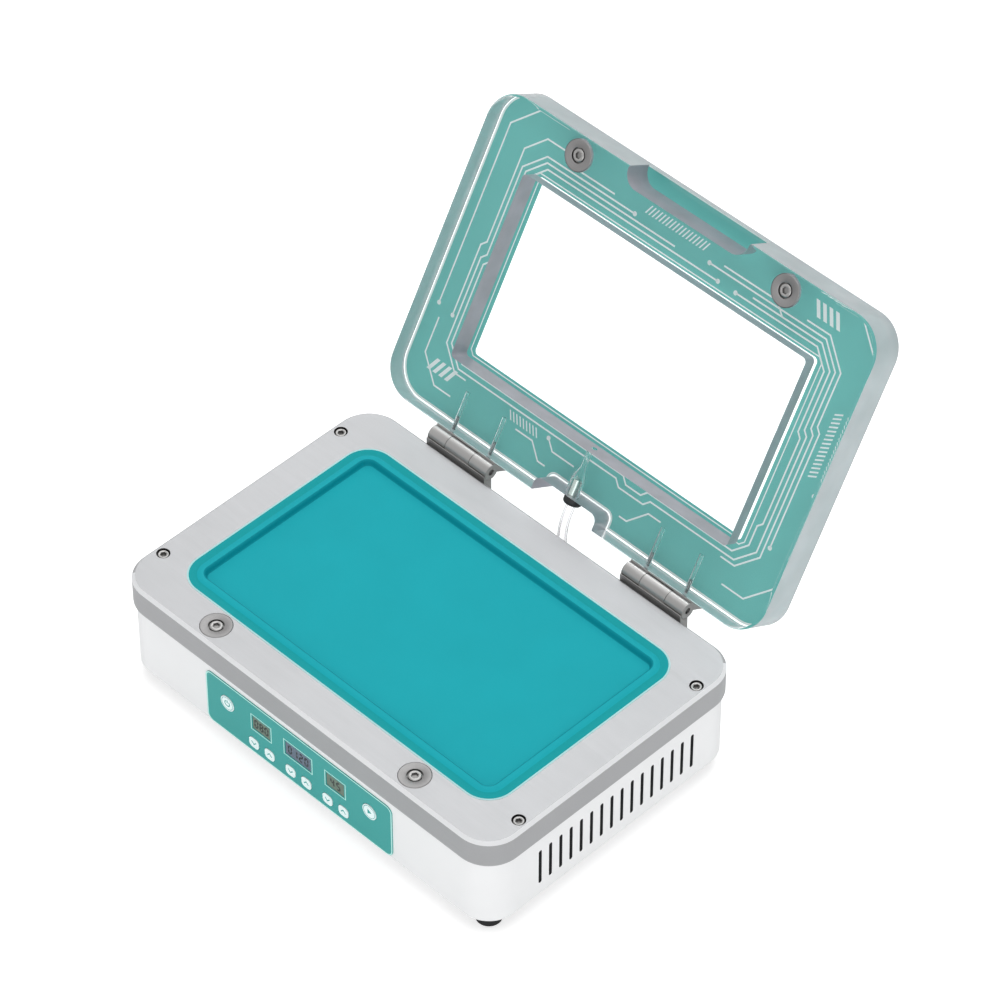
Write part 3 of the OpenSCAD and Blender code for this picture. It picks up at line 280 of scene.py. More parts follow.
ALUMINIUM = brushed("plate_aluminium", rgb(180, 181, 183), 0.42, (0.35, 14, 14), 0.12, 0.03, 0.6)
# A pale copy of the plate's metal, not metallic: a painted highlight on the bevel at the front and the
# right
EDGE_HIGHLIGHT = brushed("plate_edge_painted_highlight", rgb(240, 241, 243), 0.45, (0.35, 14, 14), 0.08, 0.02, 0.0)
HOUSING = moulded("housing_paint", rgb(238, 239, 240), 0.45, 1500, 0.12, 0.012)
# Dark paint on the housing's inner faces: painted shade, so that the vent slots look dark
INSIDE_SHADE = moulded("housing_inside_painted_shade", rgb(52, 53, 56), 0.7, 900, 0.2, 0.08)
MAT = moulded("mat_silicone", rgb(30, 184, 196), 0.6, 700, 0.1, 0.02, gloss=0.12)
# A slightly greener teal for the mat's outer flange, also darker as painted shade
MAT_RIM_TONE_AND_SHADE = moulded("mat_rim_tone_and_shade", rgb(24, 172, 178), 0.6, 700, 0.1, 0.02, gloss=0.12)
# Darker teal on the mat's inner wall: painted shade
MAT_WALL_SHADE = moulded("mat_wall_painted_shade", rgb(4, 150, 164), 0.6, 700, 0.1, 0.02, gloss=0.12)
# Pale teal on the mat's outer lip: a painted highlight
MAT_LIP_HIGHLIGHT = moulded("mat_lip_painted_highlight", rgb(190, 240, 240), 0.5, 700, 0.1, 0.02)
HINGE = brushed("hinge_steel", rgb(160, 159, 158), 0.36, (0.6, 10, 10), 0.3, 0.1)
STEEL = turned("turned_steel", rgb(152, 150, 149), 0.3)
DISC = turned("disc_steel", rgb(140, 139, 139), 0.42)
HEAD = turned("screw_head_steel", rgb(160, 159, 158), 0.28)
# A darker copy of the steel in wells, sockets and bores: painted shade
WELL_SHADE = turned("screw_well_painted_shade", rgb(132, 131, 130), 0.35)
SCREW = turned("screw_steel", rgb(116, 116, 118), 0.34)
SHEET = brushed("zinc_sheet", rgb(190, 192, 194), 0.45, (1, 8, 8), 0.2, 0.05)
RUBBER = moulded("foot_rubber", rgb(26, 26, 28), 0.7, 1200, 0.3, 0.15)
BLACK = moulded("black_plastic", rgb(24, 24, 26), 0.45, 1300, 0.25, 0.1)
FILM = moulded("panel_film", rgb(64, 164, 160), 0.4, 1800, 0.1, 0.02, gloss=0.2)
KEY = moulded("key_white", rgb(236, 253, 253), 0.3, 900, 0.05, 0.01)
BOARD = moulded("board_green", rgb(30, 92, 60), 0.4, 600, 0.3, 0.1)
HEATER = moulded("heater_rubber", rgb(196, 92, 50), 0.6, 500, 0.4, 0.08)
FELT = moulded("insulation_felt", rgb(222, 214, 190), 0.95, 420, 0.9, 0.1)
NICKEL = turned("nickel", rgb(200, 198, 194), 0.2)
BRASS = turned("brass", rgb(206, 176, 110), 0.28)
LCD_OLIVE = moulded("display_olive", rgb(104, 122, 108), 0.2, 1500, 0.05, 0.04)
LCD_BLUE = moulded("display_blue", rgb(98, 112, 130), 0.2, 1500, 0.05, 0.04)
DIGIT = moulded("display_digit", rgb(10, 11, 14), 0.4, 1500, 0.05, 0.04)
# White ink for the print's lines, also a painted highlight along the print's edge
INK_AND_HIGHLIGHT = moulded("white_ink_and_painted_highlight", rgb(248, 255, 254), 0.4, 900, 0.02, 0.01)
# Pale ink for the panel's frame lines, also a painted highlight round the overlay's edge
FRAME_INK_AND_HIGHLIGHT = moulded("frame_ink_and_painted_highlight", rgb(192, 244, 236), 0.4, 900, 0.08, 0.01)
PRINT = moulded("lid_print", rgb(92, 172, 165), 0.45, 300, 0.01, 0.03)
# A lighter copy of the print for its side seen through the acrylic: painted light
PRINT_UNDER_LIT = moulded("lid_print_under_painted_light", rgb(104, 197, 191), 0.45, 300, 0.01, 0.03)
CLEAR = acrylic("lid_acrylic", (0.97, 0.994, 0.992, 1), 0.0, 1.0, 12, 0.004, drift=0.01)
FROSTED = acrylic("lid_frosted", rgb(164, 160, 170), 0.35, 0.2, 60, 0.12)
SIDE = acrylic("lid_side", rgb(208, 210, 214), 0.1, 0.3, 45, 0.06)
BORE = acrylic("lid_bore", rgb(232, 250, 249), 0.0, 1.0, 60, 0.02)
HOSE = clear_tube("hose_clear", (0.97, 0.955, 0.965, 1), rgb(106, 104, 108))

FINISH = {
    HOUSING: ["base_housing"],
    ALUMINIUM: ["top_plate"],
    MAT: ["silicone_mat"],
    HEATER: ["heater_pad"],
    FELT: ["heat_insulation"],
    SHEET: ["bottom_plate", "heater_clamp_sheet", "power_supply", "pump_bracket"],
    RUBBER: ["rubber_feet"],
    FILM: ["control_overlay"],
    LCD_OLIVE: ["left_display", "right_display"],
    LCD_BLUE: ["centre_display"],
    KEY: [
        "power_button", "start_button", "left_down_key", "left_up_key", "centre_down_key", "centre_up_key",
        "right_down_key", "right_up_key",
    ],
    BOARD: ["control_board", "main_board"],
    BLACK: [
        "thermostat", "key_switches", "vacuum_pump_head", "solenoid_valve", "mains_inlet",
        "rocker_switch_body", "power_rocker", "rear_elbow_ring", "lid_fitting_ring",
    ],
    STEEL: ["base_catch_discs", "lid_catch_discs", "vacuum_pump_motor"],
    SCREW: [
        "bottom_plate_screws", "foot_screws", "chassis_screws", "top_plate_screws", "heater_clamp_screws",
        "base_catch_screws", "lid_catch_screws", "control_board_screws", "main_board_screws",
        "hinge_base_screws", "hinge_lid_screws", "hinge_pin_left", "hinge_pin_right",
    ],
    HINGE: [
        "hinge_base_leaf_left", "hinge_base_leaf_right", "hinge_lid_leaf_left", "hinge_lid_leaf_right",
    ],
    NICKEL: ["rear_elbow_fitting", "rear_elbow_nut", "lid_hose_fitting"],
    BRASS: ["mains_inlet_pins"],
    HOSE: ["air_hose"],
    CLEAR: ["lid_slab"],
    PRINT: ["lid_print"],
}
for finish, names in FINISH.items():
    for name in names:
        nodes[name].data.materials.clear()
        nodes[name].data.materials.append(finish.material)


# Mesh helpers

def add_piece(name, mesh, body, *finishes, smooth=30):
    """Puts a mesh in the scene, finished and riding on its body."""
    piece = bpy.data.objects.new(name, mesh)
    scene.collection.objects.link(piece)
    for finish in finishes:
        mesh.materials.append(finish.material)
    if smooth:
        mesh.shade_smooth()
        mesh.set_sharp_from_angle(angle=math.radians(smooth))
    if body:
        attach(piece, body)
    return piece


def keep_flat(mesh, *ways):
    """Flat shading for the faces square to one of these ways, for clean reflections."""
    square = 0.99995
    for face in mesh.polygons:
        if any(abs(face.normal.dot(way)) > square for way in ways):
            face.use_smooth = False


def rounded(x0, y0, x1, y1, r, steps=16):
    """The outline of a rounded rectangle, as points that run anticlockwise."""
    points = []
    corners = ((x1 - r, y0 + r, -90), (x1 - r, y1 - r, 0), (x0 + r, y1 - r, 90), (x0 + r, y0 + r, 180))
    for cx, cy, start in corners:
        for i in range(steps + 1):
            turn = math.radians(start + 90 * i / steps)
            points.append((cx + r * math.cos(turn), cy + r * math.sin(turn)))
    return points


def disc(cx, cy, r, steps=32):
    """The outline of a disc."""
    return [
        (cx + r * math.cos(2 * math.pi * i / steps), cy + r * math.sin(2 * math.pi * i / steps))
        for i in range(steps)
    ]


def strip(points, width, closed=False):
    """A line of even width through the points with mitred corners, as four-sided tiles."""
    sharpest = 0.3
    count = len(points)
    left, right = [], []
    for i, point in enumerate(points):
        here = Vector(point)
        before = Vector(points[i - 1]) if i > 0 or closed else None
        after = Vector(points[(i + 1) % count]) if i < count - 1 or closed else None
        ways = []
        if before is not None:
            ways.append((here - before).normalized())
        if after is not None:
            ways.append((after - here).normalized())
        way = sum(ways, Vector((0, 0))).normalized()
        side = Vector((-way.y, way.x))
        reach = width / 2
        if len(ways) == 2:
            across = Vector((-ways[0].y, ways[0].x))
            reach = reach / max(sharpest, side.dot(across))
        left.append(tuple(here + side * reach))
        right.append(tuple(here - side * reach))
    tiles = []
    for i in range(count if closed else count - 1):
        after = (i + 1) % count
        tiles.append([left[i], left[after], right[after], right[i]])
    return tiles


WELD = 0.000001


def flat_mesh(name, outlines, low, high, place):
    """A flat layer from low to high with these outlines, where one inside another is a hole."""
    curve = bpy.data.curves.new(name, "CURVE")
    curve.dimensions = "2D"
    curve.fill_mode = "BOTH"
    curve.extrude = (high - low) / 2 * MM
    for outline in outlines:
        spline = curve.splines.new("POLY")
        spline.points.add(len(outline) - 1)
        for point, (x, y) in zip(spline.points, outline):
            point.co = (x * MM, y * MM, 0, 1)
        spline.use_cyclic_u = True
    made = bpy.data.objects.new(name, curve)
    scene.collection.objects.link(made)
    bpy.context.view_layer.update()
    mesh = bpy.data.meshes.new_from_object(made.evaluated_get(bpy.context.evaluated_depsgraph_get()))
    bpy.data.objects.remove(made)
    bpy.data.curves.remove(curve)
    mesh.name = name
    middle = Matrix.Translation((0, 0, (low + high) / 2 * MM))
    mesh.transform(place @ middle)
    if place.to_3x3().determinant() < 0:
        mesh.flip_normals()
    tidy = bmesh.new()
    tidy.from_mesh(mesh)
    bmesh.ops.remove_doubles(tidy, verts=tidy.verts, dist=WELD)
    bmesh.ops.recalc_face_normals(tidy, faces=tidy.faces)
    tidy.to_mesh(mesh)
    tidy.free()
    return mesh


def finished(name, made):
    """The mesh of what was made, with its faces turned outwards."""
    bmesh.ops.recalc_face_normals(made, faces=made.faces)
    mesh = bpy.data.meshes.new(name)
    made.to_mesh(mesh)
    made.free()
    return mesh


def tile_mesh(name, tiles, low, high, place):
    """A flat layer from low to high made of convex tiles."""
    made = bmesh.new()
    for tile in tiles:
        lower = [made.verts.new(place @ Vector((x * MM, y * MM, low * MM))) for x, y in tile]
        upper = [made.verts.new(place @ Vector((x * MM, y * MM, high * MM))) for x, y in tile]
        made.faces.new(lower[::-1])
        made.faces.new(upper)
        for k in range(len(tile)):
            after = (k + 1) % len(tile)
            made.faces.new((lower[k], lower[after], upper[after], upper[k]))
    return finished(name, made)


def bridge(made, first, second, slot=0):
    """Faces between two rings of the same number of points."""
    for k in range(len(first)):
        after = (k + 1) % len(first)
        face = made.faces.new((first[k], first[after], second[after], second[k]))
        face.material_index = slot


def lathe(name, profile, places, closed=False, steps=48):
    """Round solids turned from points of radius, height, sides and finish, one at each place."""
    made = bmesh.new()
    for place in places:
        rings = []
        for r, z, sides, slot in profile:
            ring = []
            for k in range(steps):
                turn = 2 * math.pi * k / steps
                reach = r
                if sides:
                    part = math.pi / sides
                    reach = r * math.cos(part) / math.cos(turn % (2 * part) - part)
                spot = Vector((reach * math.cos(turn), reach * math.sin(turn), z)) * MM
                ring.append(made.verts.new(place @ spot))
            rings.append(ring)
        for i in range(len(rings) - 1):
            bridge(made, rings[i], rings[i + 1], profile[i][3])
        if closed:
            bridge(made, rings[-1], rings[0], profile[-1][3])
        else:
            made.faces.new(rings[0][::-1]).material_index = profile[0][3]
            made.faces.new(rings[-1]).material_index = profile[-1][3]
    return finished(name, made)


def tube_mesh(name, points, outer, inner, sides=32):
    """A tube with a bore along the points, closed at both ends."""
    made = bmesh.new()
    rings = []
    normal = None
    for i, point in enumerate(points):
        way = (points[min(i + 1, len(points) - 1)] - points[max(i - 1, 0)]).normalized()
        if normal is None:
            normal = way.orthogonal().normalized()
        normal = (normal - way * normal.dot(way)).normalized()
        over = way.cross(normal)
        pair = []
        for r in (outer, inner):
            ring = []
            for k in range(sides):
                turn = 2 * math.pi * k / sides
                away = normal * math.cos(turn) + over * math.sin(turn)
                ring.append(made.verts.new(point + away * r))
            pair.append(ring)
        rings.append(pair)
    for first, second in zip(rings, rings[1:]):
        for k in range(sides):
            after = (k + 1) % sides
            made.faces.new((first[0][k], first[0][after], second[0][after], second[0][k]))
            made.faces.new((first[1][after], first[1][k], second[1][k], second[1][after]))
    for pair, flip in ((rings[0], True), (rings[-1], False)):
        for k in range(sides):
            after = (k + 1) % sides
            face = [pair[0][k], pair[0][after], pair[1][after], pair[1][k]]
            made.faces.new(face[::-1] if flip else face)
    return finished(name, made)


def smooth_line(points, steps):
    """More points on a smooth curve through these."""
    line = []
    for i in range(len(points) - 1):
        a = points[max(i - 1, 0)]
        b = points[i]
        c = points[i + 1]
        d = points[min(i + 2, len(points) - 1)]
        for k in range(steps):
            t = k / steps
            squared = a * 2 - b * 5 + c * 4 - d
            cubed = b * 3 - a - c * 3 + d
            line.append((b * 2 + (c - a) * t + squared * t * t + cubed * t ** 3) / 2)
    line.append(points[-1])
    return line


# The clear air hose, from the lid's ring down to the elbow at the rear

HOSE_D = 6 * MM
HOSE_BORE = 4 * MM
HOSE_ROUTE = (
    (0, 224.743, 89.389), (0, 223, 86.5), (0, 221, 83), (0, 218.8, 78.3), (0, 217.2, 72.8),
    (0, 216.4, 67.2), (0, 216.2, 61.5), (-0.8, 216.2, 55.3), (-3.2, 216.3, 49.5), (-7, 216.3, 44.5),
    (-12, 216.4, 40.7), (-17.8, 216.4, 38.3), (-24, 216.5, 37.5), (-31, 216.5, 37.5),
    (-37, 216.5, 37.5),
)


def make_hose():
    line = smooth_line([base_at(*point) for point in HOSE_ROUTE], 5)
    mesh = tube_mesh("hose_tube", line, HOSE_D / 2, HOSE_BORE / 2)
    hose = add_piece("hose_tube", mesh, None, HOSE, smooth=60)
    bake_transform(hose)
    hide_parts("air_hose")


make_hose()


# The clear lid, cut from a bevelled slab

LID_W = 308
LID_D = 205.4
LID_T = 24.7
LID_R = 22
# Bevels of the inner and the outer face
LID_INNER_EDGE = 1.37
LID_EDGE = 0.8
BEVEL_STEPS = 4
CORNER_STEPS = 24


def prism(name, outline, low, high, finish, end=None):
    """A cutter with an outline across the lid, from one depth to another, and a finish for its ends."""
    mesh = flat_mesh(name, [outline], low, high, Matrix.Identity(4))
    mesh.materials.append(finish.material)
    if end:
        mesh.materials.append(end.material)
        for face in mesh.polygons:
            if abs(face.normal.z) > 0.9:
                face.material_index = 1
    return mesh


def rod(name, start, end, r0, r1, finish, sides=48):
    """A cutter as a round rod or cone between two points of the lid."""
    a, b = Vector(start), Vector(end)
    made = bmesh.new()
    turn = (b - a).to_track_quat("Z", "Y").to_matrix().to_4x4()
    place = Matrix.Translation((a + b) / 2 * MM) @ turn
    bmesh.ops.create_cone(
        made, cap_ends=True, segments=sides, radius1=r0 * MM, radius2=r1 * MM,
        depth=(b - a).length * MM, matrix=place,
    )
    mesh = bpy.data.meshes.new(name)
    made.to_mesh(mesh)
    made.free()
    mesh.materials.append(finish.material)
    return mesh


def lid_blank():
    """The slab with a rounded bevel round both faces."""
    def bevel(r):
        turns = [math.pi / 2 * k / BEVEL_STEPS for k in range(BEVEL_STEPS + 1)]
        return [(r * (1 - math.cos(turn)), r * (1 - math.sin(turn))) for turn in turns]

    sides = bevel(LID_INNER_EDGE) + [(LID_T - n, inset) for n, inset in bevel(LID_EDGE)[::-1]]
    made = bmesh.new()
    loops = []
    for n, inset in sides:
        half = LID_W / 2 - inset
        outline = rounded(-half, inset, half, LID_D - inset, LID_R - inset, CORNER_STEPS)
        loops.append([made.verts.new((x * MM, y * MM, n * MM)) for x, y in outline])
    for level, (first, second) in enumerate(zip(loops, loops[1:])):
        for k in range(len(first)):
            after = (k + 1) % len(first)
            face = made.faces.new((first[k], first[after], second[after], second[k]))
            face.material_index = 1 if level == BEVEL_STEPS else 0
    made.faces.new(loops[0][::-1])
    made.faces.new(loops[-1])
    mesh = finished("lid_acrylic", made)
    mesh.materials.append(CLEAR.material)
    mesh.materials.append(SIDE.material)
    return mesh


def cut(mesh, cutters):
    """The mesh with every cutter taken out of it, where each cut face keeps its cutter's material."""
    target = bpy.data.objects.new("cut_target", mesh)
    scene.collection.objects.link(target)
    tools = []
    for tool in cutters:
        piece = bpy.data.objects.new("cut_tool", tool)
        scene.collection.objects.link(piece)
        tools.append(piece)
        change = target.modifiers.new("cut", "BOOLEAN")
        change.operation = "DIFFERENCE"
        change.solver = "EXACT"
        change.material_mode = "TRANSFER"
        change.object = piece
    bpy.context.view_layer.update()
    done = bpy.data.meshes.new_from_object(target.evaluated_get(bpy.context.evaluated_depsgraph_get()))
    for piece in tools + [target]:
        bpy.data.objects.remove(piece)
    done.name = mesh.name
    return done


POCKET_W = 227
POCKET_REAR = 41.3
POCKET_D = 124.2
POCKET_T = 15
POCKET_R = 3
# How far a cutter runs past the face that it opens
OVER = 1
PULL_X = 1
PULL_HALF = 48
PULL_IN = 11
PULL_OUT = 10
PULL_T = 20
PULL_R = 10
NOTCH_HALF = 25
NOTCH_D = 9.8
NOTCH_OUT = 6
NOTCH_R = 5
# Hose passage and hinge bores: depths under the inner face, reaches from the hinge edge, then radii
PASSAGE_T = 8.6
BORE_T = 12.35
PASSAGE_END = 21
CONE_END = 29
BORE_END = 25.4
PASSAGE_R = 5.15
CHANNEL_R = 2
BORE_R = 1.65
HINGE_X = 81
BORE_SIDE = 15.5
LID_CATCH_X = 82.5
LID_CATCH_D = LID_D - 12
SEAT_R = 10.05
SEAT_T = 2.8
SCREW_BORE_IN = 2
SCREW_BORE_R = 2.05
SCREW_BORE_T = 11


def make_lid():
    def on_axis(d):
        """A point on the hose passage's axis, this far from the hinge edge."""
        return (0, d, PASSAGE_T)

    half = POCKET_W / 2
    pocket = rounded(-half, POCKET_REAR, half, POCKET_REAR + POCKET_D, POCKET_R)
    pull = rounded(PULL_X - PULL_HALF, LID_D - PULL_IN, PULL_X + PULL_HALF, LID_D + PULL_OUT, PULL_R)
    notch = rounded(-NOTCH_HALF, -NOTCH_OUT, NOTCH_HALF, NOTCH_D, NOTCH_R)
    channel = (on_axis(CONE_END - OVER), on_axis(POCKET_REAR + OVER))
    cutters = [
        prism("pocket", pocket, -OVER, POCKET_T, FROSTED, CLEAR),
        prism("pull", pull, -OVER, PULL_T, FROSTED, CLEAR),
        prism("notch", notch, -OVER, LID_T + OVER, FROSTED),
        rod("passage", on_axis(-OVER), on_axis(PASSAGE_END), PASSAGE_R, PASSAGE_R, BORE),
        rod("cone", on_axis(PASSAGE_END), on_axis(CONE_END), PASSAGE_R, CHANNEL_R, BORE),
        rod("channel", *channel, CHANNEL_R, CHANNEL_R, BORE),
    ]
    for hinge in (-HINGE_X, HINGE_X):
        for x in (hinge - BORE_SIDE, hinge + BORE_SIDE):
            ends = (x, -OVER, BORE_T), (x, BORE_END, BORE_T)
            cutters.append(rod("bore", *ends, BORE_R, BORE_R, BORE, 32))
    for x in (-LID_CATCH_X, LID_CATCH_X):
        ends = (x, LID_CATCH_D, -OVER), (x, LID_CATCH_D, SEAT_T)
        cutters.append(rod("seat", *ends, SEAT_R, SEAT_R, FROSTED, 64))
        ends = (x, LID_CATCH_D, SCREW_BORE_IN), (x, LID_CATCH_D, SCREW_BORE_T)
        cutters.append(rod("screw_bore", *ends, SCREW_BORE_R, SCREW_BORE_R, BORE, 32))
    mesh = cut(lid_blank(), cutters)
    mesh.transform(LID_PLACE)
    mesh.flip_normals()
    lid = add_piece("lid_acrylic", mesh, "lid", smooth=25)
    keep_flat(mesh, *LID_PLACE.to_3x3().transposed())
    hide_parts("lid_slab")


make_lid()


# The print on the lid's outer face: a teal ground with white lines, one of them a painted highlight along
# its edge

PRINT_IN = 0.8
PRINT_LOW = LID_T - 0.05
PRINT_HIGH = LID_T + 0.3
LINE_LOW = PRINT_LOW - 0.02
LINE_HIGH = PRINT_HIGH + 0.02
LINE_W = 1.1
EDGE_HIGHLIGHT_IN = 1.5
WINDOW_LINE_W = 0.8
WINDOW_IN = 1.5
DOT_R = 1.5
NOTCH_STEPS = 8

# Distances to the right and from the hinge edge
WINDOW_LINE = (
    (112, 165.6), (-112, 165.6), (-115, 162.6), (-115, 44), (-112, 41), (112, 41), (115, 44), (115, 162.6),
    (112, 165.6),
)
TRACKS = (
    ((30, 170), (-108, 170), (-118.5, 159.5), (-118.5, 60), (-122, 56.5), (-122, 44), (-113, 35), (22, 35),
     (26, 31), (38, 31), (42, 35), (109.5, 35), (118.5, 44), (118.5, 57), (121.5, 60), (121.5, 117),
     (118.5, 120), (118.5, 159.5), (108, 170), (44, 170)),
    ((-6, 173.4), (-110, 173.4), (-122, 161.4), (-122, 100), (-125.5, 96.5), (-125.5, 42.5), (-114, 31),
     (18, 31), (22, 27), (42, 27), (46, 31), (113, 31), (125, 43), (125, 120), (122, 123), (122, 161.4),
     (110, 173.4), (56, 173.4)),
    ((-40, 176.8), (-111.5, 176.8), (-125.5, 162.8), (-125.5, 103), (-129, 99.5), (-129, 41),
     (-115.5, 27.5), (-106, 27.5)),
    ((-58, 180.2), (-94, 180.2), (-100, 186.2), (-116, 186.2), (-129, 173.2), (-129, 110),
     (-132.5, 106.5), (-132.5, 58)),
    ((-104, 199), (-128, 199), (-145, 182), (-145, 60)),
    ((-141, 52), (-141, 28), (-126, 13), (-112, 13)),
    ((20, 176.8), (111.5, 176.8), (125.5, 162.8), (125.5, 126), (128.5, 123), (128.5, 41.5), (115, 28),
     (104, 28)),
    ((30, 180.2), (72, 180.2), (77, 175.2), (79, 173.4)),
    ((95, 180.2), (113, 180.2), (129, 164.2), (129, 129), (132, 126), (132, 50)),
    ((108, 199), (129, 199), (145, 183), (145, 92)),
    ((145, 80), (145, 30), (129, 14), (112, 14)),
    ((-36, 27.5), (-30, 21.5), (-12, 21.5)),
    ((-60, 20), (-46, 20), (-37, 11), (-31, 11)),
    ((30, 12), (36, 12), (48, 24), (58, 24)),
)
DOTS = (
    (30, 170), (-40, 176.8), (-145, 60), (-132.5, 58), (44, 170), (20, 176.8), (132, 50), (145, 92),
    (-36, 27.5),
)
# Corner, count, pitch, width, height and lean of each row of bars
BARS = (
    (100, 185, 4, 5, 2.8, 9.5, -5),
    (-136, 20, 4, 5, 2.8, 9, 5),
    (-34, 181, 18, 2.7, 1.0, 6, 3),
    (-66, 23, 9, 2.7, 1.0, 5.5, -3),
)
# The ticks at the right: first corner, count and pitch, then reach, rise and thickness of each
TICKS_X = 136
TICKS_Y = 100
TICK_COUNT = 16
TICK_PITCH = 2.7
TICK_L = 5.5
TICK_RISE = 2.6
TICK_T = 1.1


def slanted_bars(x, y, count, pitch, width, height, lean):
    """A row of leaning bars from a corner, as outlines."""
    bars = []
    for i in range(count):
        left = x + i * pitch
        bars.append([
            (left, y), (left + width, y), (left + width + lean, y + height), (left + lean, y + height),
        ])
    return bars


def print_outline(inset):
    """The lid's outline with the notch at its hinge edge, drawn in by an inset."""
    half = LID_W / 2 - inset
    notch = NOTCH_HALF + inset
    top = NOTCH_D + inset
    r = NOTCH_R + inset - PRINT_IN
    outer = rounded(-half, inset, half, LID_D - inset, LID_R - inset, CORNER_STEPS)
    bay = [(-notch, inset)]
    for cx, start in ((r - notch, 180), (notch - r, 90)):
        for i in range(NOTCH_STEPS + 1):
            turn = math.radians(start - 90 * i / NOTCH_STEPS)
            bay.append((cx + r * math.cos(turn), top - r + r * math.sin(turn)))
    bay.append((notch, inset))
    start = max(i for i, (x, d) in enumerate(outer) if d < inset + 0.001 and x < 0)
    return outer[:start + 1] + bay + outer[start + 1:]


def make_print():
    half = POCKET_W / 2 - WINDOW_IN
    low = POCKET_REAR + WINDOW_IN
    high = POCKET_REAR + POCKET_D - WINDOW_IN
    outline = print_outline(PRINT_IN)
    window = rounded(-half, low, half, high, POCKET_R)
    mesh = flat_mesh("lid_print_ground", [outline, window], PRINT_LOW, PRINT_HIGH, LID_PLACE)
    # The side that shows through the acrylic is a lighter copy of the print: painted light
    for face in mesh.polygons:
        if face.normal.y * INTO[0] + face.normal.z * INTO[1] < -0.5:
            face.material_index = 1
    ground = add_piece("lid_print_ground", mesh, "lid", PRINT, PRINT_UNDER_LIT)
    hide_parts("lid_print")
    # A white line along the print's edge: a painted highlight of the lid's bevel
    tiles = strip(print_outline(EDGE_HIGHLIGHT_IN), LINE_W, closed=True)
    tiles.extend(strip(WINDOW_LINE, WINDOW_LINE_W))
    for track in TRACKS:
        tiles.extend(strip(track, LINE_W))
    for x, y in DOTS:
        tiles.append(disc(x, y, DOT_R))
    for row in BARS:
        tiles.extend(slanted_bars(*row))
    for i in range(TICK_COUNT):
        x, y = TICKS_X, TICKS_Y + i * TICK_PITCH
        end_x, end_y = x + TICK_L, y + TICK_RISE
        tiles.append([(x, y), (end_x, end_y), (end_x, end_y + TICK_T), (x, y + TICK_T)])
    mesh = tile_mesh("lid_print_lines", tiles, LINE_LOW, LINE_HIGH, LID_PLACE)
    white = add_piece("lid_print_lines", mesh, "lid", INK_AND_HIGHLIGHT, smooth=0)


make_print()


# The front panel's lines, digits and key signs, with a painted highlight round the overlay's edge

FRONT = Matrix((
    (1, 0, 0, 0),
    (0, 0, -1, 0),
    (0, 1, 0, 0),
    (0, 0, 0, 1),
))
# Depths behind the plate's front edge, then places and sizes on the front
PANEL_FRONT = 1.4
KEY_FRONT = 1.0
LENS_FRONT = 1.6
PANEL_X = -2.8
PANEL_Z = 32
PANEL_W = 156
PANEL_H = 42
PANEL_R = 5
DISPLAY_Z = 37.1
DISPLAY_H = 10
KEY_Z = 19.5
ROUND_X = 59.7
ROUND_Z = 36.8
# Place, width, figures and their pitch on each display
DISPLAYS = ((-31.1, 14.4, "080", 4.3), (0, 21.1, "0120", 4.6), (31.1, 14.4, "45", 5.0))
FRAME_GAP = 1.3
FRAME_LINE_W = 0.55
EDGE_IN = 0.5
PANEL_LINE_W = 0.8
DIGIT_W = 3.4
DIGIT_H = 6.8
DIGIT_BAR = 1.05
DIGIT_GAP = 0.12
# Place of each small key and whether its sign points up or down
KEYS = (
    ("left_down_key", -37.75, -1), ("left_up_key", -24.45, 1), ("centre_down_key", -6.65, -1),
    ("centre_up_key", 6.65, 1), ("right_down_key", 24.45, -1), ("right_up_key", 37.75, 1),
)
LAYER_T = 0.03
FRAME_T = 0.04
# Line widths and sizes of the arrows, then of the rings and signs on the round keys
ARROW_W = 0.7
ARROW_HALF = 1.9
ARROW_LOW = 0.9
ARROW_HIGH = 1.1
RING_W = 0.35
RING_R = 4.6
POWER_W = 0.75
POWER_R = 2
POWER_FROM = 125
POWER_TURN = 290
POWER_STEPS = 24
STROKE_LOW = 0.4
STROKE_HIGH = 2.7
PLAY_LEFT = 1.3
PLAY_RIGHT = 2
PLAY_HALF = 1.9


def front_layer(name, outlines, y, thick, body, finish):
    """A thin layer on the front: outlines in X and height, its back at depth y."""
    place = Matrix.Translation(base_at(0, y, 0)) @ FRONT
    mesh = tile_mesh(name, outlines, 0, thick, place)
    piece = add_piece(name, mesh, body, finish, smooth=0)


SEGMENTS = {"0": "abcdef", "1": "bc", "2": "abged", "4": "fgbc", "5": "afgcd", "8": "abcdefg"}


def digit(sign, x, y):
    """The bars of a seven segment digit with its lower left corner here, as outlines."""
    w, h, t, gap = DIGIT_W, DIGIT_H, DIGIT_BAR, DIGIT_GAP
    half = h / 2
    flats = {"a": y + h - t / 2, "g": y + half, "d": y + t / 2}
    posts = {"f": (x + t / 2, 1), "b": (x + w - t / 2, 1), "e": (x + t / 2, 0), "c": (x + w - t / 2, 0)}
    outlines = []
    for name in SEGMENTS[sign]:
        if name in flats:
            level = flats[name]
            left, right = x + t / 2 + gap, x + w - t / 2 - gap
            outlines.append([
                (left, level), (left + t / 2, level - t / 2), (right - t / 2, level - t / 2),
                (right, level), (right - t / 2, level + t / 2), (left + t / 2, level + t / 2),
            ])
        else:
            middle, upper = posts[name]
            low = y + t / 2 + gap + upper * (half - t / 2)
            high = low + half - t / 2 - 2 * gap
            outlines.append([
                (middle, low), (middle + t / 2, low + t / 2), (middle + t / 2, high - t / 2),
                (middle, high), (middle - t / 2, high - t / 2), (middle - t / 2, low + t / 2),
            ])
    return outlines


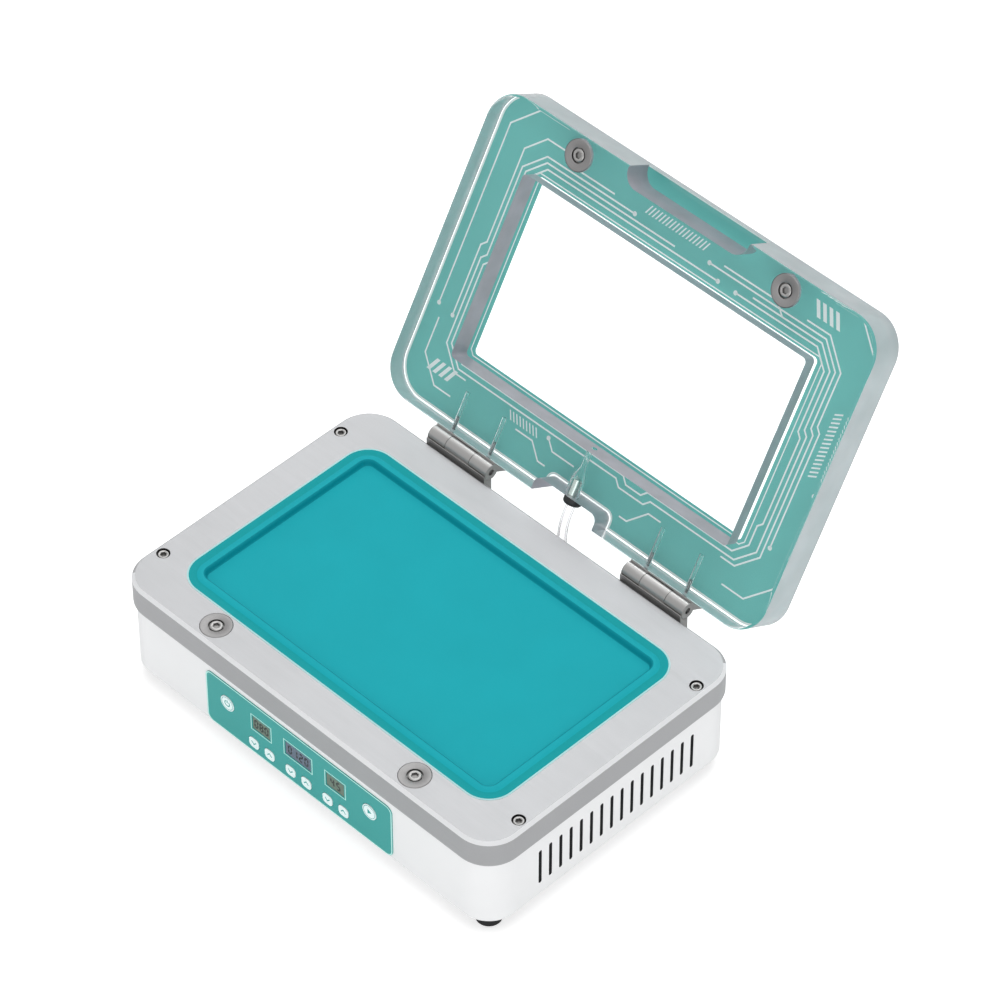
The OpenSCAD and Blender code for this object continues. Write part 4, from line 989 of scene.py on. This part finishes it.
def power_sign(cx):
    """A broken ring with a stroke through its gap."""
    arc = []
    for i in range(POWER_STEPS + 1):
        turn = math.radians(POWER_FROM + POWER_TURN * i / POWER_STEPS)
        arc.append((cx + POWER_R * math.cos(turn), ROUND_Z + POWER_R * math.sin(turn)))
    stroke = [(cx, ROUND_Z + STROKE_LOW), (cx, ROUND_Z + STROKE_HIGH)]
    return strip(arc, POWER_W) + strip(stroke, POWER_W)


def play_sign(cx):
    """A triangle that points to the right."""
    left = cx - PLAY_LEFT
    return [[(left, ROUND_Z - PLAY_HALF), (cx + PLAY_RIGHT, ROUND_Z), (left, ROUND_Z + PLAY_HALF)]]


def make_panel():
    frames = []
    digits = []
    for x, width, signs, pitch in DISPLAYS:
        cx = PANEL_X + x
        left, right = cx - width / 2 - FRAME_GAP, cx + width / 2 + FRAME_GAP
        low, high = DISPLAY_Z - DISPLAY_H / 2 - FRAME_GAP, DISPLAY_Z + DISPLAY_H / 2 + FRAME_GAP
        box = [(left, low), (right, low), (right, high), (left, high)]
        frames.extend(strip(box, FRAME_LINE_W, closed=True))
        first = cx - (len(signs) - 1) * pitch / 2 - DIGIT_W / 2
        for i, sign in enumerate(signs):
            digits.extend(digit(sign, first + i * pitch, DISPLAY_Z - DIGIT_H / 2))
    # A pale line round the overlay's edge: a painted highlight
    half_w, half_h = PANEL_W / 2 - EDGE_IN, PANEL_H / 2 - EDGE_IN
    edge = rounded(
        PANEL_X - half_w, PANEL_Z - half_h, PANEL_X + half_w, PANEL_Z + half_h, PANEL_R - EDGE_IN, 8,
    )
    frames.extend(strip(edge, PANEL_LINE_W, closed=True))
    front_layer("panel_lines", frames, PANEL_FRONT, FRAME_T, "base", FRAME_INK_AND_HIGHLIGHT)
    front_layer("display_digits", digits, LENS_FRONT, LAYER_T, "base", DIGIT)
    for key, x, way in KEYS:
        cx = PANEL_X + x
        low, high = KEY_Z - way * ARROW_LOW, KEY_Z + way * ARROW_HIGH
        arrow = [(cx - ARROW_HALF, low), (cx, high), (cx + ARROW_HALF, low)]
        front_layer(key + "_sign", strip(arrow, ARROW_W), KEY_FRONT, LAYER_T, key, FILM)
    for key, x, sign in (("power_button", -ROUND_X, power_sign), ("start_button", ROUND_X, play_sign)):
        cx = PANEL_X + x
        signs = strip(disc(cx, ROUND_Z, RING_R, 48), RING_W, closed=True) + sign(cx)
        front_layer(key + "_sign", signs, KEY_FRONT, LAYER_T, key, FILM)


make_panel()


# The silicone mat, with its rounded rim

PLATE_W = 310
PLATE_D = 207
PLATE_TOP = 79
MAT_MARGIN = 24.4
MAT_R = 18
# Distance in from the mat's edge, height over the plate and finish, where finish 1 is a painted highlight
# on the outer lip, 2 the outer flange, slightly greener and darkened with painted shade, and 3 the inner
# wall with painted shade
MAT_SECTION = (
    (-0.15, -5, 2), (-0.15, 0.03, 1), (-0.4, 0.03, 1), (-0.4, 0.1, 1), (-0.1, 0.16, 1), (0.7, 0.14, 2),
    (3, 0.06, 2), (4.2, -0.12, 2), (5, -0.14, 2), (5.8, 0.1, 0), (6.6, 0.44, 0), (7.6, 0.76, 0),
    (8.8, 0.9, 0), (9.9, 0.82, 3), (10.6, 0.5, 3), (11.1, -0.35, 3), (11.4, -1.4, 3), (11.7, -2.3, 3),
    (12.2, -2.75, 0), (13, -2.95, 0), (14, -3, 0),
)
# How much faster than its distance in from the edge the corner radius shrinks
MAT_TIGHTEN = 1.1


def make_mat():
    made = bmesh.new()
    w = PLATE_W / 2 - MAT_MARGIN
    low = MAT_MARGIN
    high = PLATE_D - MAT_MARGIN
    rings = []
    for u, z, slot in MAT_SECTION:
        r = MAT_R - u * MAT_TIGHTEN
        outline = rounded(u - w, low + u, w - u, high - u, r, 12)
        rings.append([made.verts.new(base_at(x, y, PLATE_TOP + z)) for x, y in outline])
    for i in range(len(rings) - 1):
        bridge(made, rings[i], rings[i + 1], MAT_SECTION[i][2])
    made.faces.new(rings[0][::-1])
    made.faces.new(rings[-1])
    mesh = finished("mat_silicone", made)
    mat = add_piece("mat_silicone", mesh, "base", MAT, MAT_LIP_HIGHLIGHT, MAT_RIM_TONE_AND_SHADE, MAT_WALL_SHADE, smooth=40)
    keep_flat(mesh, Vector((0, 0, 1)))
    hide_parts("silicone_mat")


make_mat()


# Catch discs, screw heads and the ring at the hose

CATCH_X = 82.6
CATCH_FRONT = 13.2
CATCH_PROUD = 0.3
LID_CATCH_PROUD = 0.2
PLATE_SCREW_X = 147.8
PLATE_SCREW_Y = (31, 176)
PLATE_SCREW_DROP = 0.5
# Radius, height, sides of the section or 0 for a round one, and finish, where finish 1 is painted shade in
# the wells and sockets
DISC_SECTION = (
    (2.4, -3, 0, 0), (9.9, -3, 0, 0), (10, -2.9, 0, 0), (10, -0.45, 0, 0), (9.5, 0, 0, 0),
    (5.3, 0, 0, 0), (4.9, -0.3, 0, 1), (4.9, -1.7, 0, 1), (2.4, -1.7, 0, 0),
)
HEAD_SECTION = (
    (2, -10.5, 0, 0), (2, -1.68, 0, 0), (4, -1.68, 0, 0), (4.15, -1.5, 0, 0), (4.15, -0.75, 0, 0),
    (3.95, -0.35, 0, 0), (3.5, -0.1, 0, 0), (3, 0, 0, 0), (2.6, -0.02, 0, 0), (2.25, -0.25, 6, 1),
    (2.2, -1.4, 6, 1),
)
CAP_SECTION = (
    (2, -30, 0, 0), (2, -4, 0, 0), (3.4, -4, 0, 0), (3.5, -3.9, 0, 0), (3.5, -0.55, 0, 0),
    (3.3, -0.2, 0, 0), (2.9, 0, 0, 0), (2.4, -0.02, 0, 0), (2.05, -0.3, 6, 1), (2, -2, 6, 1),
)
# Here heights are distances from the lid's hinge edge, and the hose's end sits in the ring
RING_SECTION = (
    (3.1, 3.8, 0, 0), (5.2, 3.8, 0, 0), (5.8, 4.5, 0, 0), (5.9, 5.6, 0, 0), (5.9, 7.2, 0, 0),
    (5.6, 8.3, 0, 0), (5.2, 9, 0, 0), (2.1, 9, 0, 0), (2.1, 5, 0, 0), (3.1, 5, 0, 0),
)


def round_piece(name, profile, places, body, node, finishes, closed=False):
    """Turned solids at these places, as one piece that stands for a node."""
    mesh = lathe(name, profile, places, closed)
    piece = add_piece(name, mesh, body, *finishes, smooth=40)
    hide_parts(node)


def make_round_pieces():
    base = [
        Matrix.Translation(base_at(x, CATCH_FRONT, PLATE_TOP + CATCH_PROUD)) for x in (-CATCH_X, CATCH_X)
    ]
    over = Matrix.Rotation(math.pi, 4, "X")
    lid = [
        LID_PLACE @ Matrix.Translation(Vector((x, LID_CATCH_D, -LID_CATCH_PROUD)) * MM) @ over
        for x in (-LID_CATCH_X, LID_CATCH_X)
    ]
    for body, places in (("base", base), ("lid", lid)):
        round_piece(
            body + "_catch_rings", DISC_SECTION, places, body, body + "_catch_discs",
            (DISC, WELL_SHADE), closed=True,
        )
        round_piece(
            body + "_catch_heads", HEAD_SECTION, places, body, body + "_catch_screws",
            (HEAD, WELL_SHADE),
        )
    out = Matrix.Rotation(-math.pi / 2, 4, "X")
    along = LID_PLACE @ Matrix.Translation(Vector((0, 0, PASSAGE_T)) * MM) @ out
    round_piece(
        "lid_hose_ring", RING_SECTION, [along], "lid", "lid_fitting_ring", (BLACK,),
        closed=True,
    )
    corners = [
        Matrix.Translation(base_at(x, y, PLATE_TOP - PLATE_SCREW_DROP))
        for x in (-PLATE_SCREW_X, PLATE_SCREW_X) for y in PLATE_SCREW_Y
    ]
    round_piece(
        "plate_screw_heads", CAP_SECTION, corners, "base", "top_plate_screws",
        (HEAD, WELL_SHADE),
    )


make_round_pieces()


# Finishes for parts of a node: painted shade inside the housing and in the plate's screw bores, and a
# painted highlight on the plate's near bevel

HOUSING_INSET = 2
HOUSING_CORNER = 20
SKIN = 0.2
PLATE_BEVEL = 2
PLATE_BORE_R = 4.6


def finish_faces(name, finish, test):
    """Gives the faces of a node that pass the test a finish of their own."""
    piece = nodes[name]
    mesh = piece.data
    mesh.materials.append(finish.material)
    for face in mesh.polygons:
        spot = piece.matrix_world @ face.center
        way = piece.matrix_world.to_3x3() @ face.normal
        if test(spot.x / MM, spot.y / MM + Y_MID, spot.z / MM, way):
            face.material_index = len(mesh.materials) - 1


def inside_housing(x, y, z, way):
    """Whether a point lies more than a hair inside the housing's outer walls."""
    away_x = max(0, abs(x) - (PLATE_W / 2 - HOUSING_INSET - HOUSING_CORNER))
    away_y = max(0, abs(y - PLATE_D / 2) - (PLATE_D / 2 - HOUSING_INSET - HOUSING_CORNER))
    return HOUSING_CORNER - math.hypot(away_x, away_y) > SKIN


def in_screw_bore(x, y, z, way):
    """Whether a point lies in one of the bores for the plate's corner screws."""
    away_x = abs(abs(x) - PLATE_SCREW_X)
    away_y = min(abs(y - screw_y) for screw_y in PLATE_SCREW_Y)
    return math.hypot(away_x, away_y) < PLATE_BORE_R and z < PLATE_TOP - SKIN


def on_near_edge(x, y, z, way):
    """Whether a face belongs to the plate's bevel at the front or the right."""
    return z > PLATE_TOP - PLATE_BEVEL and 0.3 < way.z < 0.9 and way.x - way.y > -0.1


# Painted shade on the housing's inner faces
finish_faces("base_housing", INSIDE_SHADE, inside_housing)
# Painted highlight on the plate's bevel at the front and the right
finish_faces("top_plate", EDGE_HIGHLIGHT, on_near_edge)
# Painted shade in the plate's screw bores
finish_faces("top_plate", WELL_SHADE, in_screw_bore)


# Floor, lamps and world

# Light that the floor gives besides what it reflects, except in the gloss of the object
FLOOR_LIFT = 0.6
FLOOR_HALF = 4
FLOOR_COLOUR = (0.9, 0.9, 0.9, 1)
WHITE = (1, 1, 1, 1)
SKY = 0.48
# Name, place and target in metres, size and power of each lamp, and whether the open lid lets it past
LAMPS = (
    ("lamp_front", (1.25, -1.7, 0.7), (0, 0, 0.08), 1.4, 8, False),
    ("lamp_back", (-0.95, 1.35, 1.9), (0, 0, 0.08), 1.8, 12, True),
    ("lamp_top", (0.1, 0.1, 2.0), (0, 0, 0), 1.6, 8, False),
)


def make_floor():
    mesh = bpy.data.meshes.new("floor")
    corners = [(x * FLOOR_HALF, y * FLOOR_HALF, 0) for x, y in ((-1, -1), (1, -1), (1, 1), (-1, 1))]
    mesh.from_pydata(corners, [], [(0, 1, 2, 3)])
    floor = bpy.data.objects.new("floor", mesh)
    scene.collection.objects.link(floor)
    made = Recipe("floor", FLOOR_COLOUR, 0.9)
    made.tone(made.noise(3), FLOOR_COLOUR, 0.005)
    rays = made.node("ShaderNodeLightPath").outputs
    dull = made.maths("SUBTRACT", 1.0, rays["Is Glossy Ray"])
    seen = made.maths("MAXIMUM", dull, rays["Is Transmission Ray"])
    strength = made.maths("MULTIPLY", seen, FLOOR_LIFT)
    lift = made.node("ShaderNodeEmission", {"Color": WHITE, "Strength": strength}).outputs["Emission"]
    total = made.node("ShaderNodeAddShader", {0: made.shader.outputs["BSDF"], 1: lift})
    made.link(total.outputs["Shader"], made.output.inputs["Surface"])
    mesh.materials.append(made.material)


def add_lamp(name, place, target, size, power):
    data = bpy.data.lights.new(name, "AREA")
    data.shape = "SQUARE"
    data.size = size
    data.energy = power
    lamp = bpy.data.objects.new(name, data)
    scene.collection.objects.link(lamp)
    lamp.location = place
    lamp.rotation_mode = "QUATERNION"
    lamp.rotation_quaternion = (Vector(target) - Vector(place)).to_track_quat("-Z", "Y")
    return lamp


def pass_the_lid(lamp):
    """Lets a lamp shine past the open lid, which throws no shadow from it."""
    past = bpy.data.collections.new(lamp.name + "_past")
    for name in ("lid_acrylic", "lid_print_ground", "lid_print_lines"):
        past.objects.link(bpy.data.objects[name])
    for item in past.collection_objects:
        item.light_linking.link_state = "EXCLUDE"
    lamp.light_linking.blocker_collection = past


def make_world(strength):
    """Soft light all round, and plain white where it shows directly, mirrored or through the lid."""
    world = bpy.data.worlds.new("studio")
    scene.world = world
    world.use_nodes = True
    world.node_tree.nodes.clear()
    made = Tree(world.node_tree)
    rays = made.node("ShaderNodeLightPath").outputs
    seen = made.maths("MAXIMUM", rays["Is Camera Ray"], rays["Is Transmission Ray"])
    shown = made.maths("MAXIMUM", seen, rays["Is Glossy Ray"])
    direct = made.maths("LESS_THAN", rays["Diffuse Depth"], 0.5)
    bright = made.maths("MULTIPLY", shown, direct)
    level = made.node("ShaderNodeMix", {0: bright, NUMBER_A: strength, NUMBER_B: 1}, data_type="FLOAT")
    sky = made.node("ShaderNodeBackground", {"Color": WHITE, "Strength": level.outputs[NUMBER_OUT]})
    output = made.node("ShaderNodeOutputWorld")
    made.link(sky.outputs[0], output.inputs["Surface"])


scene.view_settings.view_transform = "Standard"
make_floor()
make_world(SKY)
for name, place, target, size, power, past_lid in LAMPS:
    lamp = add_lamp(name, place, target, size, power)
    if past_lid:
        pass_the_lid(lamp)
